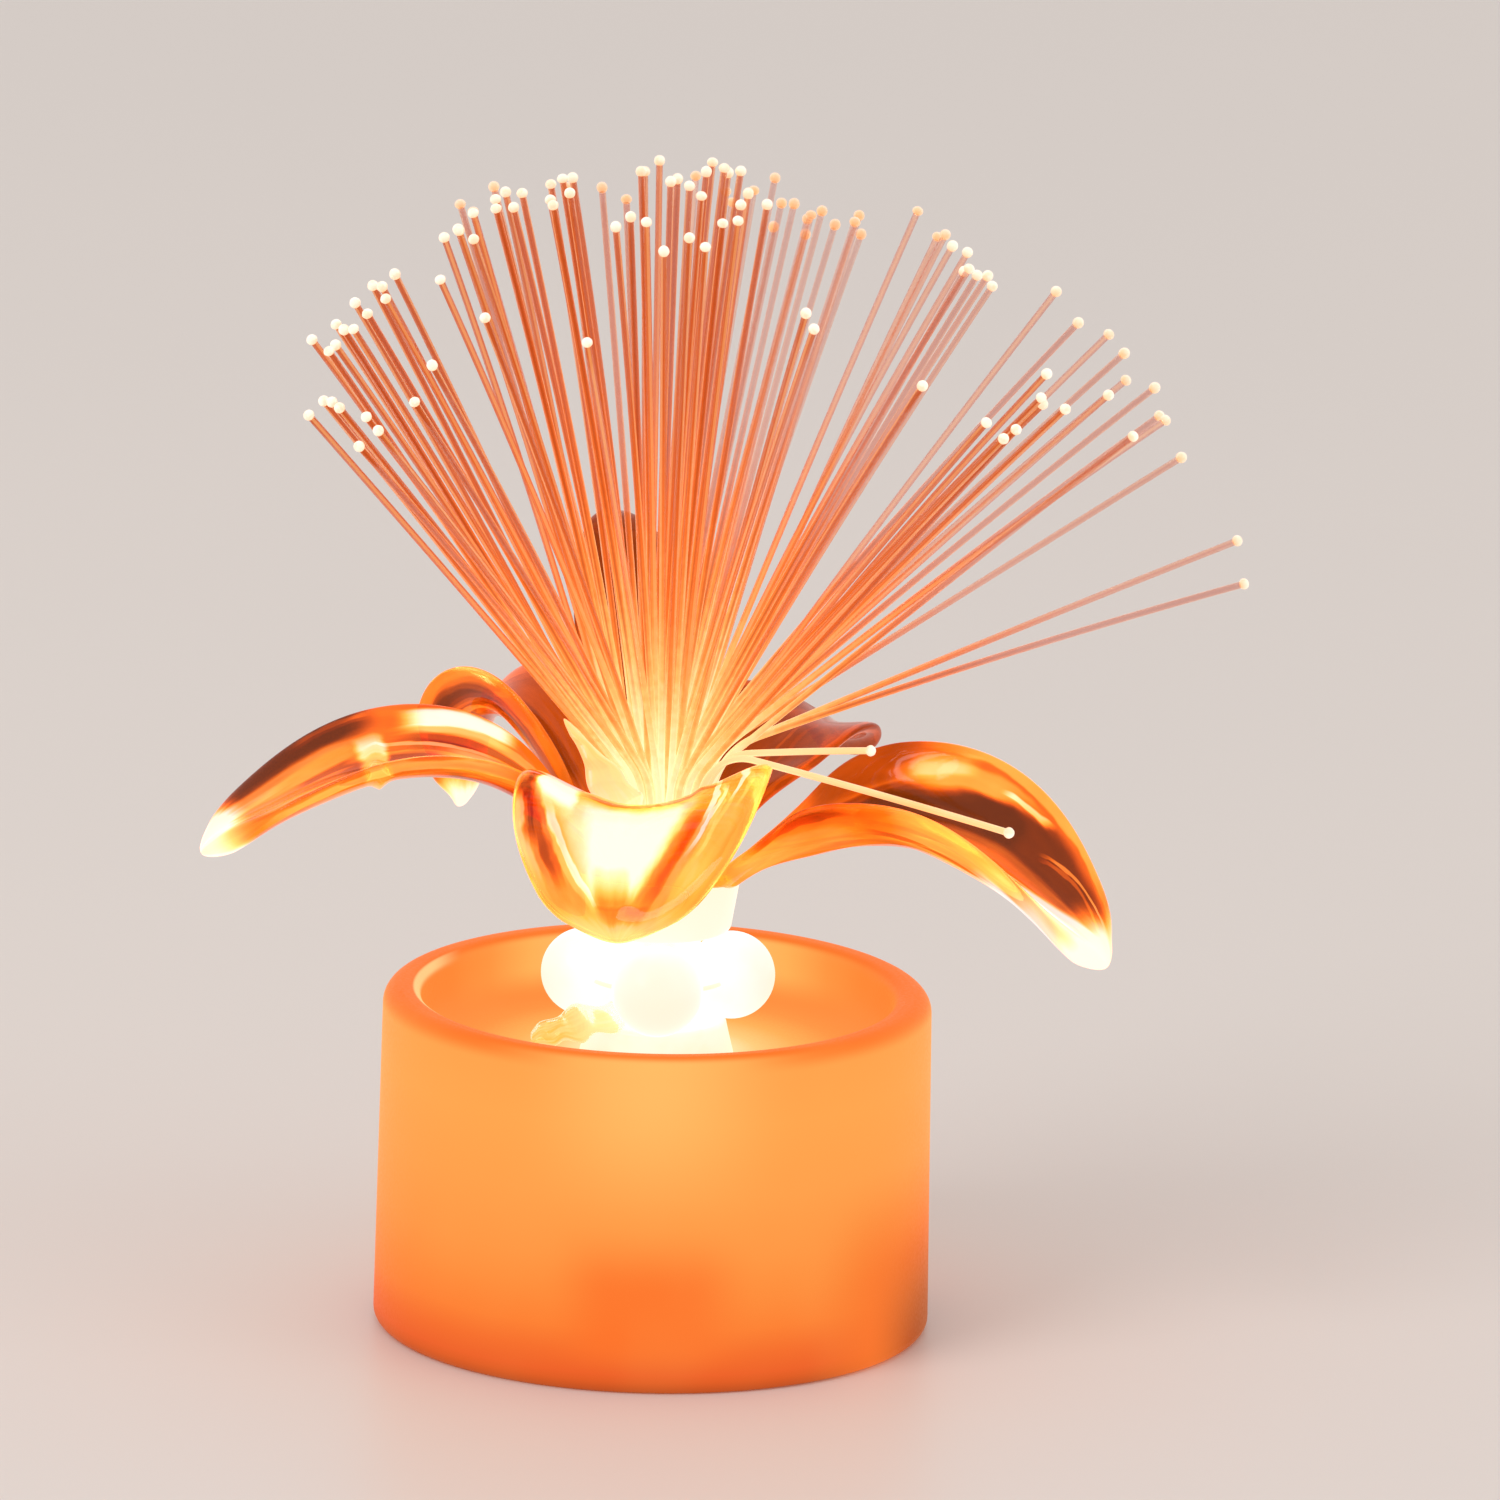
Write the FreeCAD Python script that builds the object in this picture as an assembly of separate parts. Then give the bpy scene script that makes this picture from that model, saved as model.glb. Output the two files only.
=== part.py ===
"""Fibre optic flower lamp: a frosted round base, a stem of beads, six clear petals and a spray of fibres.

Millimetres, +Z up. The origin is on the surface that the lamp stands on, under the middle of its stem.
-Y is the front of the lamp, +X its right-hand side.
"""
import FreeCAD, Part
import math
import os
import random

from FreeCAD import Vector

# ---- base shell ----
base_height = 37.5
base_top_radius = 30.0
base_draft = 0.4
top_edge_radius = 2.0
bottom_edge_radius = 1.2
rim_width = 4.2
rim_inner_edge = 1.5
dish_depth = 7.0
dish_corner_radius = 5.0
shell_wall = 2.5
rest_ring_width = 1.6
ledge_width = 1.2
ledge_height = 1.6

# ---- clearances ----
fit_gap = 0.05
seat_gap = 0.1
running_gap = 0.08

# ---- bottom cover with its battery well and bayonet cap ----
cover_recess = 1.0
cover_thickness = 3.0
snap_depth = 0.35
snap_height = 0.8
cell_radius = 10.0
cell_height = 3.2
well_gap = 0.4
well_wall = 1.6
well_roof = 1.2
spring_space = 1.4
cap_thickness = 2.3
cap_flange_thickness = 0.8
cap_flange_width = 1.4
lug_thickness = 0.6
lug_reach = 0.9
lug_span_deg = 22.0
cap_turn_deg = 40.0
coin_slot_width = 1.6
coin_slot_length = 13.0
coin_slot_depth = 0.7

# ---- contacts, circuit board and its parts ----
contact_thickness = 0.25
contact_width = 2.4
tail_width = 1.2
board_radius = 11.0
board_thickness = 1.2
boss_height = 1.2
boss_radius = 1.9
boss_offset = 7.4
screw_radius = 0.8
screw_length = 2.6
screw_head_radius = 1.5
screw_head_height = 0.9
screw_slot_width = 0.35
resistor_radius = 1.1
resistor_length = 4.0
resistor_offset = 5.2
part_lead_radius = 0.25
lead_tail = 0.5
led_radius = 2.5
led_flange_radius = 2.9
led_flange_height = 1.0
led_barrel_height = 6.0
led_lead_spacing = 2.54

# ---- slide switch and its wires ----
switch_offset = 18.6
switch_width = 3.8
switch_length = 8.6
switch_height = 3.6
switch_skin = 0.5
knob_width = 1.6
knob_length = 1.8
knob_foot_width = 2.4
knob_foot_length = 3.4
knob_foot_height = 0.9
knob_proud = 0.5
switch_travel = 2.0
finger_recess_width = 4.6
finger_recess_length = 9.0
finger_recess_depth = 1.2
terminal_spacing = 2.5
terminal_length = 1.8
wire_radius = 0.5
wire_bend_radius = 2.2
wire_hump = 3.0
wire_landing_inset = 2.6

# ---- stem: foot, light pipe, beads and collar ----
foot_height = 3.9
foot_bottom_radius = 8.4
foot_top_radius = 7.6
foot_edge_radius = 0.6
spigot_radius = 5.0
spigot_length = 8.0
retainer_width = 3.0
retainer_thickness = 1.3
retainer_notch_depth = 1.0
retainer_notch_width = 2.2
pipe_radius = 1.9
tube_wall = 0.8
tube_seat_depth = 1.2
side_bead_radius = 4.8
front_bead_radius = 5.0
bead_ring_radius = 8.0
front_bead_offset = 0.5
bead_wire_radius = 0.25
collar_height = 5.9
collar_floor = 1.4
collar_bottom_radius = 7.9
collar_top_radius = 8.8
collar_edge_radius = 0.5
pipe_flare_height = 3.0
pipe_head_height = 0.8

# ---- small clear leaf between the left and front beads ----
leaf_width = 3.2
leaf_thickness = 1.1
# along the leaf: right of the stem, back of it, height over the foot
leaf_line = [(-2.35, -2.2, 1.3), (-5.55, -5.3, 1.2), (-9.6, -7.2, 0.6), (-13.6, -8.2, -0.9)]

# ---- petals ----
petal_thickness = 1.9
petal_root_width = 7.0
petal_rim_share = 0.6
root_cup = 1.0
blade_steps = 8
# along a petal from root to tip: place on its length, width as a share, thickness as a share, cup as a share
petal_form = [
    (0.00, 0.00, 1.00, 0.0),
    (0.12, 0.20, 1.00, 0.20),
    (0.26, 0.62, 1.00, 0.75),
    (0.42, 0.94, 0.95, 1.0),
    (0.58, 1.00, 0.90, 1.0),
    (0.72, 0.86, 0.95, 0.75),
    (0.85, 0.54, 1.15, 0.40),
    (0.94, 0.14, 1.40, 0.15),
    (0.985, -0.22, 1.20, 0.0),
    (1.00, -0.48, 0.70, 0.0),
]
# name: (bearing in degrees from +X at the root, swing of the bearing from there to the tip,
#        widest width, root width as a share, cup, roll in degrees,
#        line from root to tip as (reach from the stem's axis, rise over the root))
petals = {
    "front": (-88.5, -9, 27.2, 1.6, 6.2, 9,
              [(10.6, 6.4), (14.6, 10.4), (20.4, 11.4), (26.8, 8.4), (32.2, 1.0)]),
    "right": (-20, 0, 18.0, 1.0, 7.0, 10,
              [(11.6, 2.6), (18.0, 5.2), (25.0, 7.4), (31.5, 7.4), (38.0, 5.2), (44.8, 1.0), (51.4, -4.4)]),
    "left": (190, 0, 15.4, 0.84, 3.8, -8,
             [(10.8, 5.4), (15.8, 9.8), (23.0, 12.6), (32.0, 12.2), (38.0, 10.3), (45.5, 6.6), (50.2, 3.6)]),
    "back_left": (147.5, -9, 13.6, 0.5, 4.8, 8,
                  [(11.0, 6.0), (16.5, 11.8), (22.0, 14.6), (27.0, 12.4), (29.8, 2.4)]),
    "back_right": (56, 0, 18.0, 0.9, 3.0, 8,
                   [(11.0, 4.8), (17.0, 8.6), (24.0, 11.0), (31.0, 10.4), (37.0, 6.8)]),
    "back": (100, 0, 14.0, 0.3, 2.4, 0,
             [(10.0, 8.0), (14.5, 17.5), (22.0, 26.0), (30.0, 31.0), (36.5, 30.6)]),
}

# ---- fibre bundle and spray ----
fibre_diameter = 0.75
fibre_pitch = 0.92
bundle_rings = 6
ferrule_wall = 0.6
ferrule_height = 12.6
bend_rise = 0.6
bend_line_radius = 13.0
fibre_bow_deg = 3.0
tip_radius = 0.62
# the melted tips lie near a sphere round a point a little over the place where the bends start
spray_rise = 3.6
spray_radius = 66.5
spray_scatter = 1.1
tuft_turn_per_share = 66.5
# group: tufts as (tips right of the neck, tips back of the neck, strands, radius of the tuft);
# places and radii are shares of the spray's radius
tuft_shares = {
    "front_left": [(-0.556, -0.451, 4, 0.042), (-0.481, -0.526, 3, 0.039),
                   (-0.406, -0.511, 2, 0.030), (-0.541, -0.346, 3, 0.030)],
    "left": [(-0.556, -0.256, 3, 0.038), (-0.481, -0.241, 6, 0.042),
             (-0.376, -0.316, 1, 0.000), (-0.301, -0.421, 1, 0.000)],
    "upper_left": [(-0.346, -0.150, 5, 0.033), (-0.271, -0.075, 5, 0.039),
                   (-0.195, -0.045, 4, 0.033), (-0.180, -0.135, 2, 0.021)],
    "front": [(-0.135, -0.511, 1, 0.000), (-0.075, -0.211, 3, 0.033),
              (0.015, -0.301, 3, 0.045), (0.090, -0.241, 2, 0.027)],
    "centre": [(-0.045, 0.015, 3, 0.030), (0.015, -0.075, 4, 0.039),
               (0.075, -0.015, 5, 0.039), (0.120, -0.105, 3, 0.033)],
    "back_left": [(-0.331, 0.361, 3, 0.060), (-0.120, 0.496, 3, 0.068)],
    "back_right": [(0.075, 0.526, 4, 0.060), (0.180, 0.496, 4, 0.048),
                   (0.195, 0.617, 3, 0.051), (0.286, 0.526, 5, 0.051)],
    "front_right": [(0.226, -0.466, 2, 0.026), (0.406, -0.511, 1, 0.000),
                    (0.541, -0.466, 3, 0.033), (0.617, -0.346, 4, 0.042)],
    "upper_right": [(0.489, -0.090, 7, 0.039), (0.421, 0.331, 3, 0.060)],
    "right": [(0.632, 0.075, 2, 0.039), (0.722, -0.180, 2, 0.036), (0.737, 0.180, 3, 0.027),
              (0.812, 0.105, 4, 0.042), (0.937, 0.045, 2, 0.018)],
}
# two short strands that strayed: bearing, turn of the bend, bend radius, free length
strays = [(-27, 80, 6.6, 24.0), (-31, 94.5, 6.2, 42.8)]
stray_bow_deg = 2.0

# ---- heights and radii that follow ----
cover_bottom = cover_recess
cover_top = cover_bottom + cover_thickness
dish_floor = base_height - dish_depth
foot_top = dish_floor + foot_height
collar_bottom = foot_top + 2 * front_bead_radius + 2 * seat_gap
collar_top = collar_bottom + collar_height
collar_inner_floor = collar_bottom + collar_floor
tube_radius = pipe_radius + fit_gap + tube_wall
tube_bottom = foot_top - tube_seat_depth
flare_top = collar_inner_floor + pipe_flare_height
fibre_foot = flare_top + pipe_head_height + fit_gap
bundle_radius = bundle_rings * fibre_pitch + fibre_diameter / 2
ferrule_bore = bundle_radius + seat_gap
ferrule_radius = ferrule_bore + ferrule_wall
ferrule_top = collar_inner_floor + ferrule_height
bend_height = ferrule_top + bend_rise
petal_root_radius = ferrule_radius + 2 * seat_gap + petal_thickness * 0.62
petal_root_height = collar_top + seat_gap

base_bottom_radius = base_top_radius + base_draft
rim_inner_radius = base_top_radius - rim_width
rest_outer_radius = base_bottom_radius - bottom_edge_radius
rest_inner_radius = rest_outer_radius - rest_ring_width
inner_top_radius = base_top_radius - shell_wall
inner_bottom_radius = base_bottom_radius - shell_wall
spigot_bottom = dish_floor - spigot_length
cover_radius = rest_inner_radius - seat_gap

cap_top = cover_bottom + cap_thickness
well_radius = cell_radius + well_gap
well_outer_radius = well_radius + well_wall
cell_bottom = cap_top + seat_gap
roof_bottom = cell_bottom + cell_height + spring_space
roof_top = roof_bottom + well_roof
board_bottom = roof_top + boss_height
board_top = board_bottom + board_thickness
flange_radius = well_radius + cap_flange_width
lug_radius = well_radius + lug_reach
groove_top = cap_top + running_gap
lug_bottom = cap_top - lug_thickness
lead_bottom = board_bottom - lead_tail
led_bottom = spigot_bottom + fit_gap
led_dome_centre = led_bottom + led_flange_height + led_barrel_height
led_top = led_dome_centre + led_radius
pipe_bottom = led_top + seat_gap


# ---- making shapes ----
def turned(start, *steps):
    """Solid turned about Z from a closed outline of (r, z); a pair of points is an arc through the first."""
    edges = []
    here = Vector(start[0], 0, start[1])
    for step in steps + (start,):
        if isinstance(step[0], tuple):
            through, end = (Vector(r, 0, z) for r, z in step)
            edges.append(Part.Arc(here, through, end).toShape())
        else:
            end = Vector(step[0], 0, step[1])
            edges.append(Part.LineSegment(here, end).toShape())
        here = end
    return Part.Face(Part.Wire(edges)).revolve(Vector(), Vector(0, 0, 1), 360)


def arc(centre, radius, first_deg, last_deg):
    """Middle and end of an arc in the outline of a turned solid."""
    points = []
    for angle in (math.radians((first_deg + last_deg) / 2), math.radians(last_deg)):
        points.append((centre[0] + radius * math.cos(angle), centre[1] + radius * math.sin(angle)))
    return tuple(points)


def cylinder(radius, bottom, top, x=0.0, y=0.0):
    return Part.makeCylinder(radius, top - bottom, Vector(x, y, bottom))


def block(width, length, bottom, top, x=0.0, y=0.0):
    """Box with its middle over (x, y); width is along X and length along Y."""
    return Part.makeBox(width, length, top - bottom, Vector(x - width / 2, y - length / 2, bottom))


def ring(inner_radius, outer_radius, bottom, top):
    return cylinder(outer_radius, bottom, top).cut(cylinder(inner_radius, bottom, top))


def sector(inner_radius, outer_radius, bottom, top, first_deg, span_deg):
    """Part of a ring, from one bearing over a span."""
    piece = Part.makeCylinder(outer_radius, top - bottom, Vector(0, 0, bottom), Vector(0, 0, 1), span_deg)
    if inner_radius:
        piece = piece.cut(cylinder(inner_radius, bottom, top))
    piece.rotate(Vector(), Vector(0, 0, 1), first_deg)
    return piece


def polar(radius, bearing_deg, height=0.0):
    angle = math.radians(bearing_deg)
    return Vector(radius * math.cos(angle), radius * math.sin(angle), height)


def round_bar(points, bend_radius, radius):
    """Bar of round section along straight runs that are joined by tangent arcs."""
    points = [Vector(*p) for p in points]
    edges = []
    here = points[0]
    for before, corner, after in zip(points, points[1:], points[2:]):
        into = (before - corner).normalize()
        out = (after - corner).normalize()
        half = into.getAngle(out) / 2
        back = bend_radius / math.tan(half)
        centre = corner + (into + out).normalize() * (bend_radius / math.sin(half))
        first = corner + into * back
        last = corner + out * back
        middle = centre + (corner - centre).normalize() * bend_radius
        edges.append(Part.LineSegment(here, first).toShape())
        edges.append(Part.Arc(first, middle, last).toShape())
        here = last
    edges.append(Part.LineSegment(here, points[-1]).toShape())
    start = points[0]
    section = Part.Face(Part.Wire(Part.makeCircle(radius, start, points[1] - start)))
    return Part.Wire(edges).makePipe(section)


def blade(stations):
    """Smooth solid through thick curved sections: (middle, across, up, half width, half thickness, cup)."""
    wires = []
    for middle, across, up, half_width, half_thickness, cup in stations:

        def off_trough(side):
            """Direction square to the trough's middle surface, at a share of the half width."""
            return (up - across * (2 * cup * side / half_width)).normalize()

        def on_section(step):
            angle = math.pi * step / blade_steps
            side = math.cos(angle)
            thick = half_thickness * math.sin(angle) * (1 + petal_rim_share * side * side)
            return middle + across * (half_width * side) + up * (cup * side * side) + off_trough(side) * thick

        right_rim, left_rim = on_section(0), on_section(blade_steps)
        upper = [on_section(step) for step in range(1, blade_steps)]
        lower = [on_section(step) for step in range(blade_steps + 1, 2 * blade_steps)]
        over = Part.BSplineCurve()
        over.interpolate(
            [right_rim] + upper + [left_rim], InitialTangent=off_trough(1), FinalTangent=off_trough(-1) * -1
        )
        under = Part.BSplineCurve()
        under.interpolate(
            [left_rim] + lower + [right_rim], InitialTangent=off_trough(-1) * -1, FinalTangent=off_trough(1)
        )
        wires.append(Part.Wire([over.toShape(), under.toShape()]))
    return Part.makeLoft(wires, True, False)


# ---- base ----
def make_base_shell():
    dish_centre = (rim_inner_radius - dish_corner_radius, dish_floor + dish_corner_radius)
    under_radius = dish_corner_radius + shell_wall
    under_angle = math.degrees(math.acos((inner_top_radius - dish_centre[0]) / under_radius))
    rim_centre = rim_inner_radius + rim_inner_edge
    ledge_bottom = cover_top + fit_gap
    snap_middle = cover_bottom + cover_thickness * 0.7
    groove = snap_height / 2 + seat_gap
    return turned(
        (rest_inner_radius, 0),
        (rest_outer_radius, 0),
        arc((rest_outer_radius, bottom_edge_radius), bottom_edge_radius, -90, 0),
        (base_top_radius, base_height - top_edge_radius),
        arc((base_top_radius - top_edge_radius, base_height - top_edge_radius), top_edge_radius, 0, 90),
        (rim_centre, base_height),
        arc((rim_centre, base_height - rim_inner_edge), rim_inner_edge, 90, 180),
        (rim_inner_radius, dish_centre[1]),
        arc(dish_centre, dish_corner_radius, 0, -90),
        (spigot_radius + fit_gap, dish_floor),
        (spigot_radius + fit_gap, dish_floor - shell_wall),
        (dish_centre[0], dish_floor - shell_wall),
        arc(dish_centre, under_radius, -90, -under_angle),
        (inner_bottom_radius, ledge_bottom + ledge_height + ledge_width),
        (rest_inner_radius - ledge_width, ledge_bottom + ledge_height),
        (rest_inner_radius - ledge_width, ledge_bottom),
        (rest_inner_radius, ledge_bottom),
        (rest_inner_radius, snap_middle + groove),
        (rest_inner_radius + snap_depth + seat_gap, snap_middle + groove / 2),
        (rest_inner_radius + snap_depth + seat_gap, snap_middle - groove / 2),
        (rest_inner_radius, snap_middle - groove),
    )


def make_bottom_cover():
    snap_middle = cover_bottom + cover_thickness * 0.7
    cover = turned(
        (0, cover_bottom),
        (cover_radius, cover_bottom),
        (cover_radius, snap_middle - snap_height / 2),
        (cover_radius + snap_depth, snap_middle - snap_height / 4),
        (cover_radius + snap_depth, snap_middle + snap_height / 4),
        (cover_radius, snap_middle + snap_height / 2),
        (cover_radius, cover_top),
        (well_outer_radius, cover_top),
        (well_outer_radius, roof_top),
        (0, roof_top),
    )
    for y in (-boss_offset, boss_offset):
        cover = cover.fuse(cylinder(boss_radius, roof_top, board_bottom, 0, y))
    cuts = [
        cylinder(well_radius, cover_bottom, roof_bottom),
        cylinder(flange_radius + running_gap, cover_bottom, cover_bottom + cap_flange_thickness + seat_gap),
        contact_slot(roof_bottom, roof_top, 0.0),
        contact_slot(roof_bottom, roof_top, cell_radius + contact_thickness / 2 + fit_gap),
        block(
            knob_width + 2 * running_gap,
            knob_length + switch_travel + 2 * seat_gap,
            cover_bottom,
            cover_top,
            switch_offset,
        ),
        block(
            finger_recess_width,
            finger_recess_length,
            cover_bottom,
            cover_bottom + finger_recess_depth,
            switch_offset,
        ),
    ]
    for y in (-boss_offset, boss_offset):
        cuts.append(cylinder(screw_radius + fit_gap, board_bottom - screw_length, board_bottom, 0, y))
    for side in (0, 180):
        reach = lug_radius + running_gap
        groove_bottom = lug_bottom - running_gap
        span = lug_span_deg + 2
        cuts.append(sector(0, reach, groove_bottom, groove_top, side - span / 2, span + cap_turn_deg))
        cuts.append(sector(0, reach, cover_bottom, groove_top, side + cap_turn_deg - span / 2, span))
    return cover.cut(Part.makeCompound(cuts))


def contact_slot(bottom, top, x):
    """Slot that a contact's tail passes through."""
    return block(contact_thickness + 2 * fit_gap, tail_width + 2 * fit_gap, bottom, top, x)


def make_battery_cap():
    cap = cylinder(flange_radius, cover_bottom, cover_bottom + cap_flange_thickness)
    cap = cap.fuse(cylinder(well_radius - running_gap, cover_bottom, cap_top))
    for side in (0, 180):
        lug = sector(well_radius / 2, lug_radius, lug_bottom, cap_top, side - lug_span_deg / 2, lug_span_deg)
        cap = cap.fuse(lug)
    slot = block(coin_slot_length, coin_slot_width, cover_bottom, cover_bottom + coin_slot_depth)
    return cap.cut(slot).removeSplitter()


def make_coin_cell():
    step = 0.6
    lid = cell_radius - 1.1
    return turned(
        (0, cell_bottom),
        (cell_radius, cell_bottom),
        (cell_radius, cell_bottom + cell_height - step),
        (lid, cell_bottom + cell_height - step),
        (lid, cell_bottom + cell_height),
        (0, cell_bottom + cell_height),
    )


def make_contact_negative():
    """Spring leaf under the roof of the well, with a tail up to the board."""
    cell_top = cell_bottom + cell_height
    reach = cell_radius * 0.55
    thick = contact_thickness
    low = cell_top + fit_gap
    high = roof_bottom - fit_gap - thick
    outline = [(0, high + thick), (-thick, high), (reach * 0.2, high), (reach * 0.8, low), (reach, low),
               (reach, low + thick), (reach * 0.85, low + thick), (reach * 0.25, high + thick)]
    points = [Vector(x, -contact_width / 2, z) for x, z in outline]
    leaf = Part.Face(Part.makePolygon(points + points[:1])).extrude(Vector(0, contact_width, 0))
    tail = block(thick, tail_width, high, board_top)
    return leaf.fuse(tail).removeSplitter()


def make_contact_positive():
    """Blade that stands against the side of the cell, with a tail up to the board."""
    x = cell_radius + contact_thickness / 2 + fit_gap
    blade_part = block(contact_thickness, contact_width, cell_bottom + seat_gap, roof_bottom - seat_gap, x)
    tail = block(contact_thickness, tail_width, roof_bottom - seat_gap, board_top, x)
    return blade_part.fuse(tail).removeSplitter()


def make_circuit_board():
    board = cylinder(board_radius, board_bottom, board_top)
    holes = [
        contact_slot(board_bottom, board_top, 0.0),
        contact_slot(board_bottom, board_top, cell_radius + contact_thickness / 2 + fit_gap),
    ]
    for y in (-boss_offset, boss_offset):
        holes.append(cylinder(screw_radius + seat_gap, board_bottom, board_top, 0, y))
    for x, y in led_lead_places() + resistor_lead_places():
        holes.append(cylinder(part_lead_radius + fit_gap, board_bottom, board_top, x, y))
    return board.cut(Part.makeCompound(holes))


def led_lead_places():
    return [(side * led_lead_spacing / 2, 0.0) for side in (-1, 1)]


def resistor_lead_places():
    reach = resistor_length / 2 + 4 * part_lead_radius
    return [(-resistor_offset, side * reach) for side in (-1, 1)]


def make_board_screws():
    screws = []
    for y in (-boss_offset, boss_offset):
        shank = cylinder(screw_radius, board_bottom - screw_length + seat_gap, board_top, 0, y)
        head = cylinder(screw_head_radius, board_top, board_top + screw_head_height, 0, y)
        slot = block(2 * screw_head_radius, screw_slot_width, board_top + screw_head_height / 2,
                     board_top + screw_head_height, 0, y)
        screws.append(shank.fuse(head).cut(slot).removeSplitter())
    return Part.makeCompound(screws)


def make_resistor():
    height = board_top + resistor_radius + seat_gap
    start = Vector(-resistor_offset, -resistor_length / 2, height)
    body = Part.makeCylinder(resistor_radius, resistor_length, start, Vector(0, 1, 0))
    (x, first), (_, last) = resistor_lead_places()
    lead = round_bar(
        [(x, first, lead_bottom), (x, first, height), (x, last, height), (x, last, lead_bottom)],
        3 * part_lead_radius,
        part_lead_radius,
    )
    return body.fuse(lead).removeSplitter()


def make_led():
    return turned(
        (0, led_bottom),
        (led_flange_radius, led_bottom),
        (led_flange_radius, led_bottom + led_flange_height),
        (led_radius, led_bottom + led_flange_height),
        (led_radius, led_dome_centre),
        arc((0, led_dome_centre), led_radius, 0, 90),
    )


def make_led_leads():
    leads = [cylinder(part_lead_radius, lead_bottom, led_bottom, x, y) for x, y in led_lead_places()]
    return Part.makeCompound(leads)


# ---- switch ----
def make_switch_body():
    body = block(switch_width, switch_length, cover_top, cover_top + switch_height, switch_offset)
    room = block(
        knob_foot_width + 2 * running_gap,
        knob_foot_length + switch_travel + 2 * seat_gap,
        cover_top + switch_skin,
        cover_top + switch_skin + knob_foot_height + 2 * running_gap,
        switch_offset,
    )
    slot = block(
        knob_width + 2 * running_gap,
        knob_length + switch_travel + 2 * seat_gap,
        cover_top,
        cover_top + switch_skin,
        switch_offset,
    )
    return body.cut(room.fuse(slot))


def make_switch_knob():
    """Knob at the front end of its travel, where the lamp is on."""
    y = -switch_travel / 2
    foot_bottom = cover_top + switch_skin + running_gap
    stem = block(knob_width, knob_length, cover_bottom - knob_proud, foot_bottom, switch_offset, y)
    foot = block(
        knob_foot_width, knob_foot_length, foot_bottom, foot_bottom + knob_foot_height, switch_offset, y
    )
    return stem.fuse(foot).removeSplitter()


def make_switch_terminals():
    bottom = cover_top + switch_height
    pins = []
    for step in (-1, 0, 1):
        pins.append(cylinder(part_lead_radius, bottom, bottom + terminal_length, switch_offset,
                             step * terminal_spacing))
    return Part.makeCompound(pins)


def make_switch_wire(step):
    """Wire from a terminal of the switch, over the edge of the board and down to its top."""
    y = step * terminal_spacing
    terminal_top = cover_top + switch_height + terminal_length
    crest = board_top + wire_hump
    land = board_radius - wire_landing_inset
    return round_bar(
        [(switch_offset, y, terminal_top), (switch_offset, y, crest + 1), (land, y * 0.9, crest),
         (land, y * 0.9, board_top)],
        wire_bend_radius,
        wire_radius,
    )


# ---- stem ----
def make_stem_foot():
    edge = foot_top_radius - foot_edge_radius
    foot = turned(
        (0, spigot_bottom),
        (spigot_radius, spigot_bottom),
        (spigot_radius, dish_floor),
        (foot_bottom_radius, dish_floor),
        (foot_top_radius, foot_top - foot_edge_radius),
        arc((edge, foot_top - foot_edge_radius), foot_edge_radius, 0, 90),
        (0, foot_top),
    )
    flange_room = led_bottom + led_flange_height + fit_gap
    bore = cylinder(led_flange_radius + fit_gap, spigot_bottom, flange_room)
    bore = bore.fuse(cylinder(led_radius + fit_gap, spigot_bottom, led_top + fit_gap))
    bore = bore.fuse(cylinder(pipe_radius + fit_gap, led_top, foot_top))
    bore = bore.fuse(cylinder(tube_radius + fit_gap, tube_bottom, foot_top))
    return foot.cut(bore)


def make_foot_retainer():
    """Push-on ring that holds the foot's spigot under the floor of the dish."""
    top = dish_floor - shell_wall
    washer = ring(spigot_radius + fit_gap, spigot_radius + retainer_width, top - retainer_thickness, top)
    teeth = [block(retainer_notch_depth, retainer_notch_width, top - retainer_thickness, top,
                   spigot_radius + retainer_width)]
    for turn in range(1, 6):
        tooth = teeth[0].copy()
        tooth.rotate(Vector(), Vector(0, 0, 1), turn * 60)
        teeth.append(tooth)
    return washer.cut(Part.makeCompound(teeth))


def make_light_pipe():
    """Clear rod up through the beads that opens into a head as wide as the fibre bundle."""
    head = bundle_radius
    rod = turned(
        (0, pipe_bottom),
        (pipe_radius, pipe_bottom),
        (pipe_radius, collar_inner_floor + seat_gap),
        (head, flare_top),
        (head, flare_top + pipe_head_height),
        (0, flare_top + pipe_head_height),
    )
    return rod


def make_stem_tube():
    return ring(pipe_radius + fit_gap, tube_radius, tube_bottom, collar_inner_floor)


def bead_places():
    """Bearing, distance from the stem and radius of each bead."""
    return {
        "left": (180, bead_ring_radius, side_bead_radius),
        "right": (0, bead_ring_radius, side_bead_radius),
        "back": (90, bead_ring_radius, side_bead_radius),
        "front": (-90, bead_ring_radius + front_bead_offset, front_bead_radius),
    }


def bead_height(radius):
    return foot_top + seat_gap + radius


def make_bead(name):
    bearing, distance, radius = bead_places()[name]
    ball = Part.makeSphere(radius, polar(distance, bearing, bead_height(radius)))
    bore = Part.makeTorus(bead_ring_radius, bead_wire_radius + seat_gap, Vector(0, 0, wire_height()))
    return ball.cut(bore)


def wire_height():
    return bead_height(side_bead_radius)


def make_bead_wire():
    """Wire that the beads are strung on, closed round the stem."""
    return Part.makeTorus(bead_ring_radius, bead_wire_radius, Vector(0, 0, wire_height()))


def make_stem_collar():
    outer = turned(
        (0, collar_bottom),
        (collar_bottom_radius - collar_edge_radius, collar_bottom),
        arc((collar_bottom_radius - collar_edge_radius, collar_bottom + collar_edge_radius),
            collar_edge_radius, -90, 0),
        (collar_top_radius, collar_top),
        (0, collar_top),
    )
    bore = cylinder(ferrule_radius + fit_gap, collar_inner_floor, collar_top)
    bore = bore.fuse(cylinder(tube_radius + fit_gap, collar_bottom, collar_inner_floor))
    return outer.cut(bore)


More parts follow.
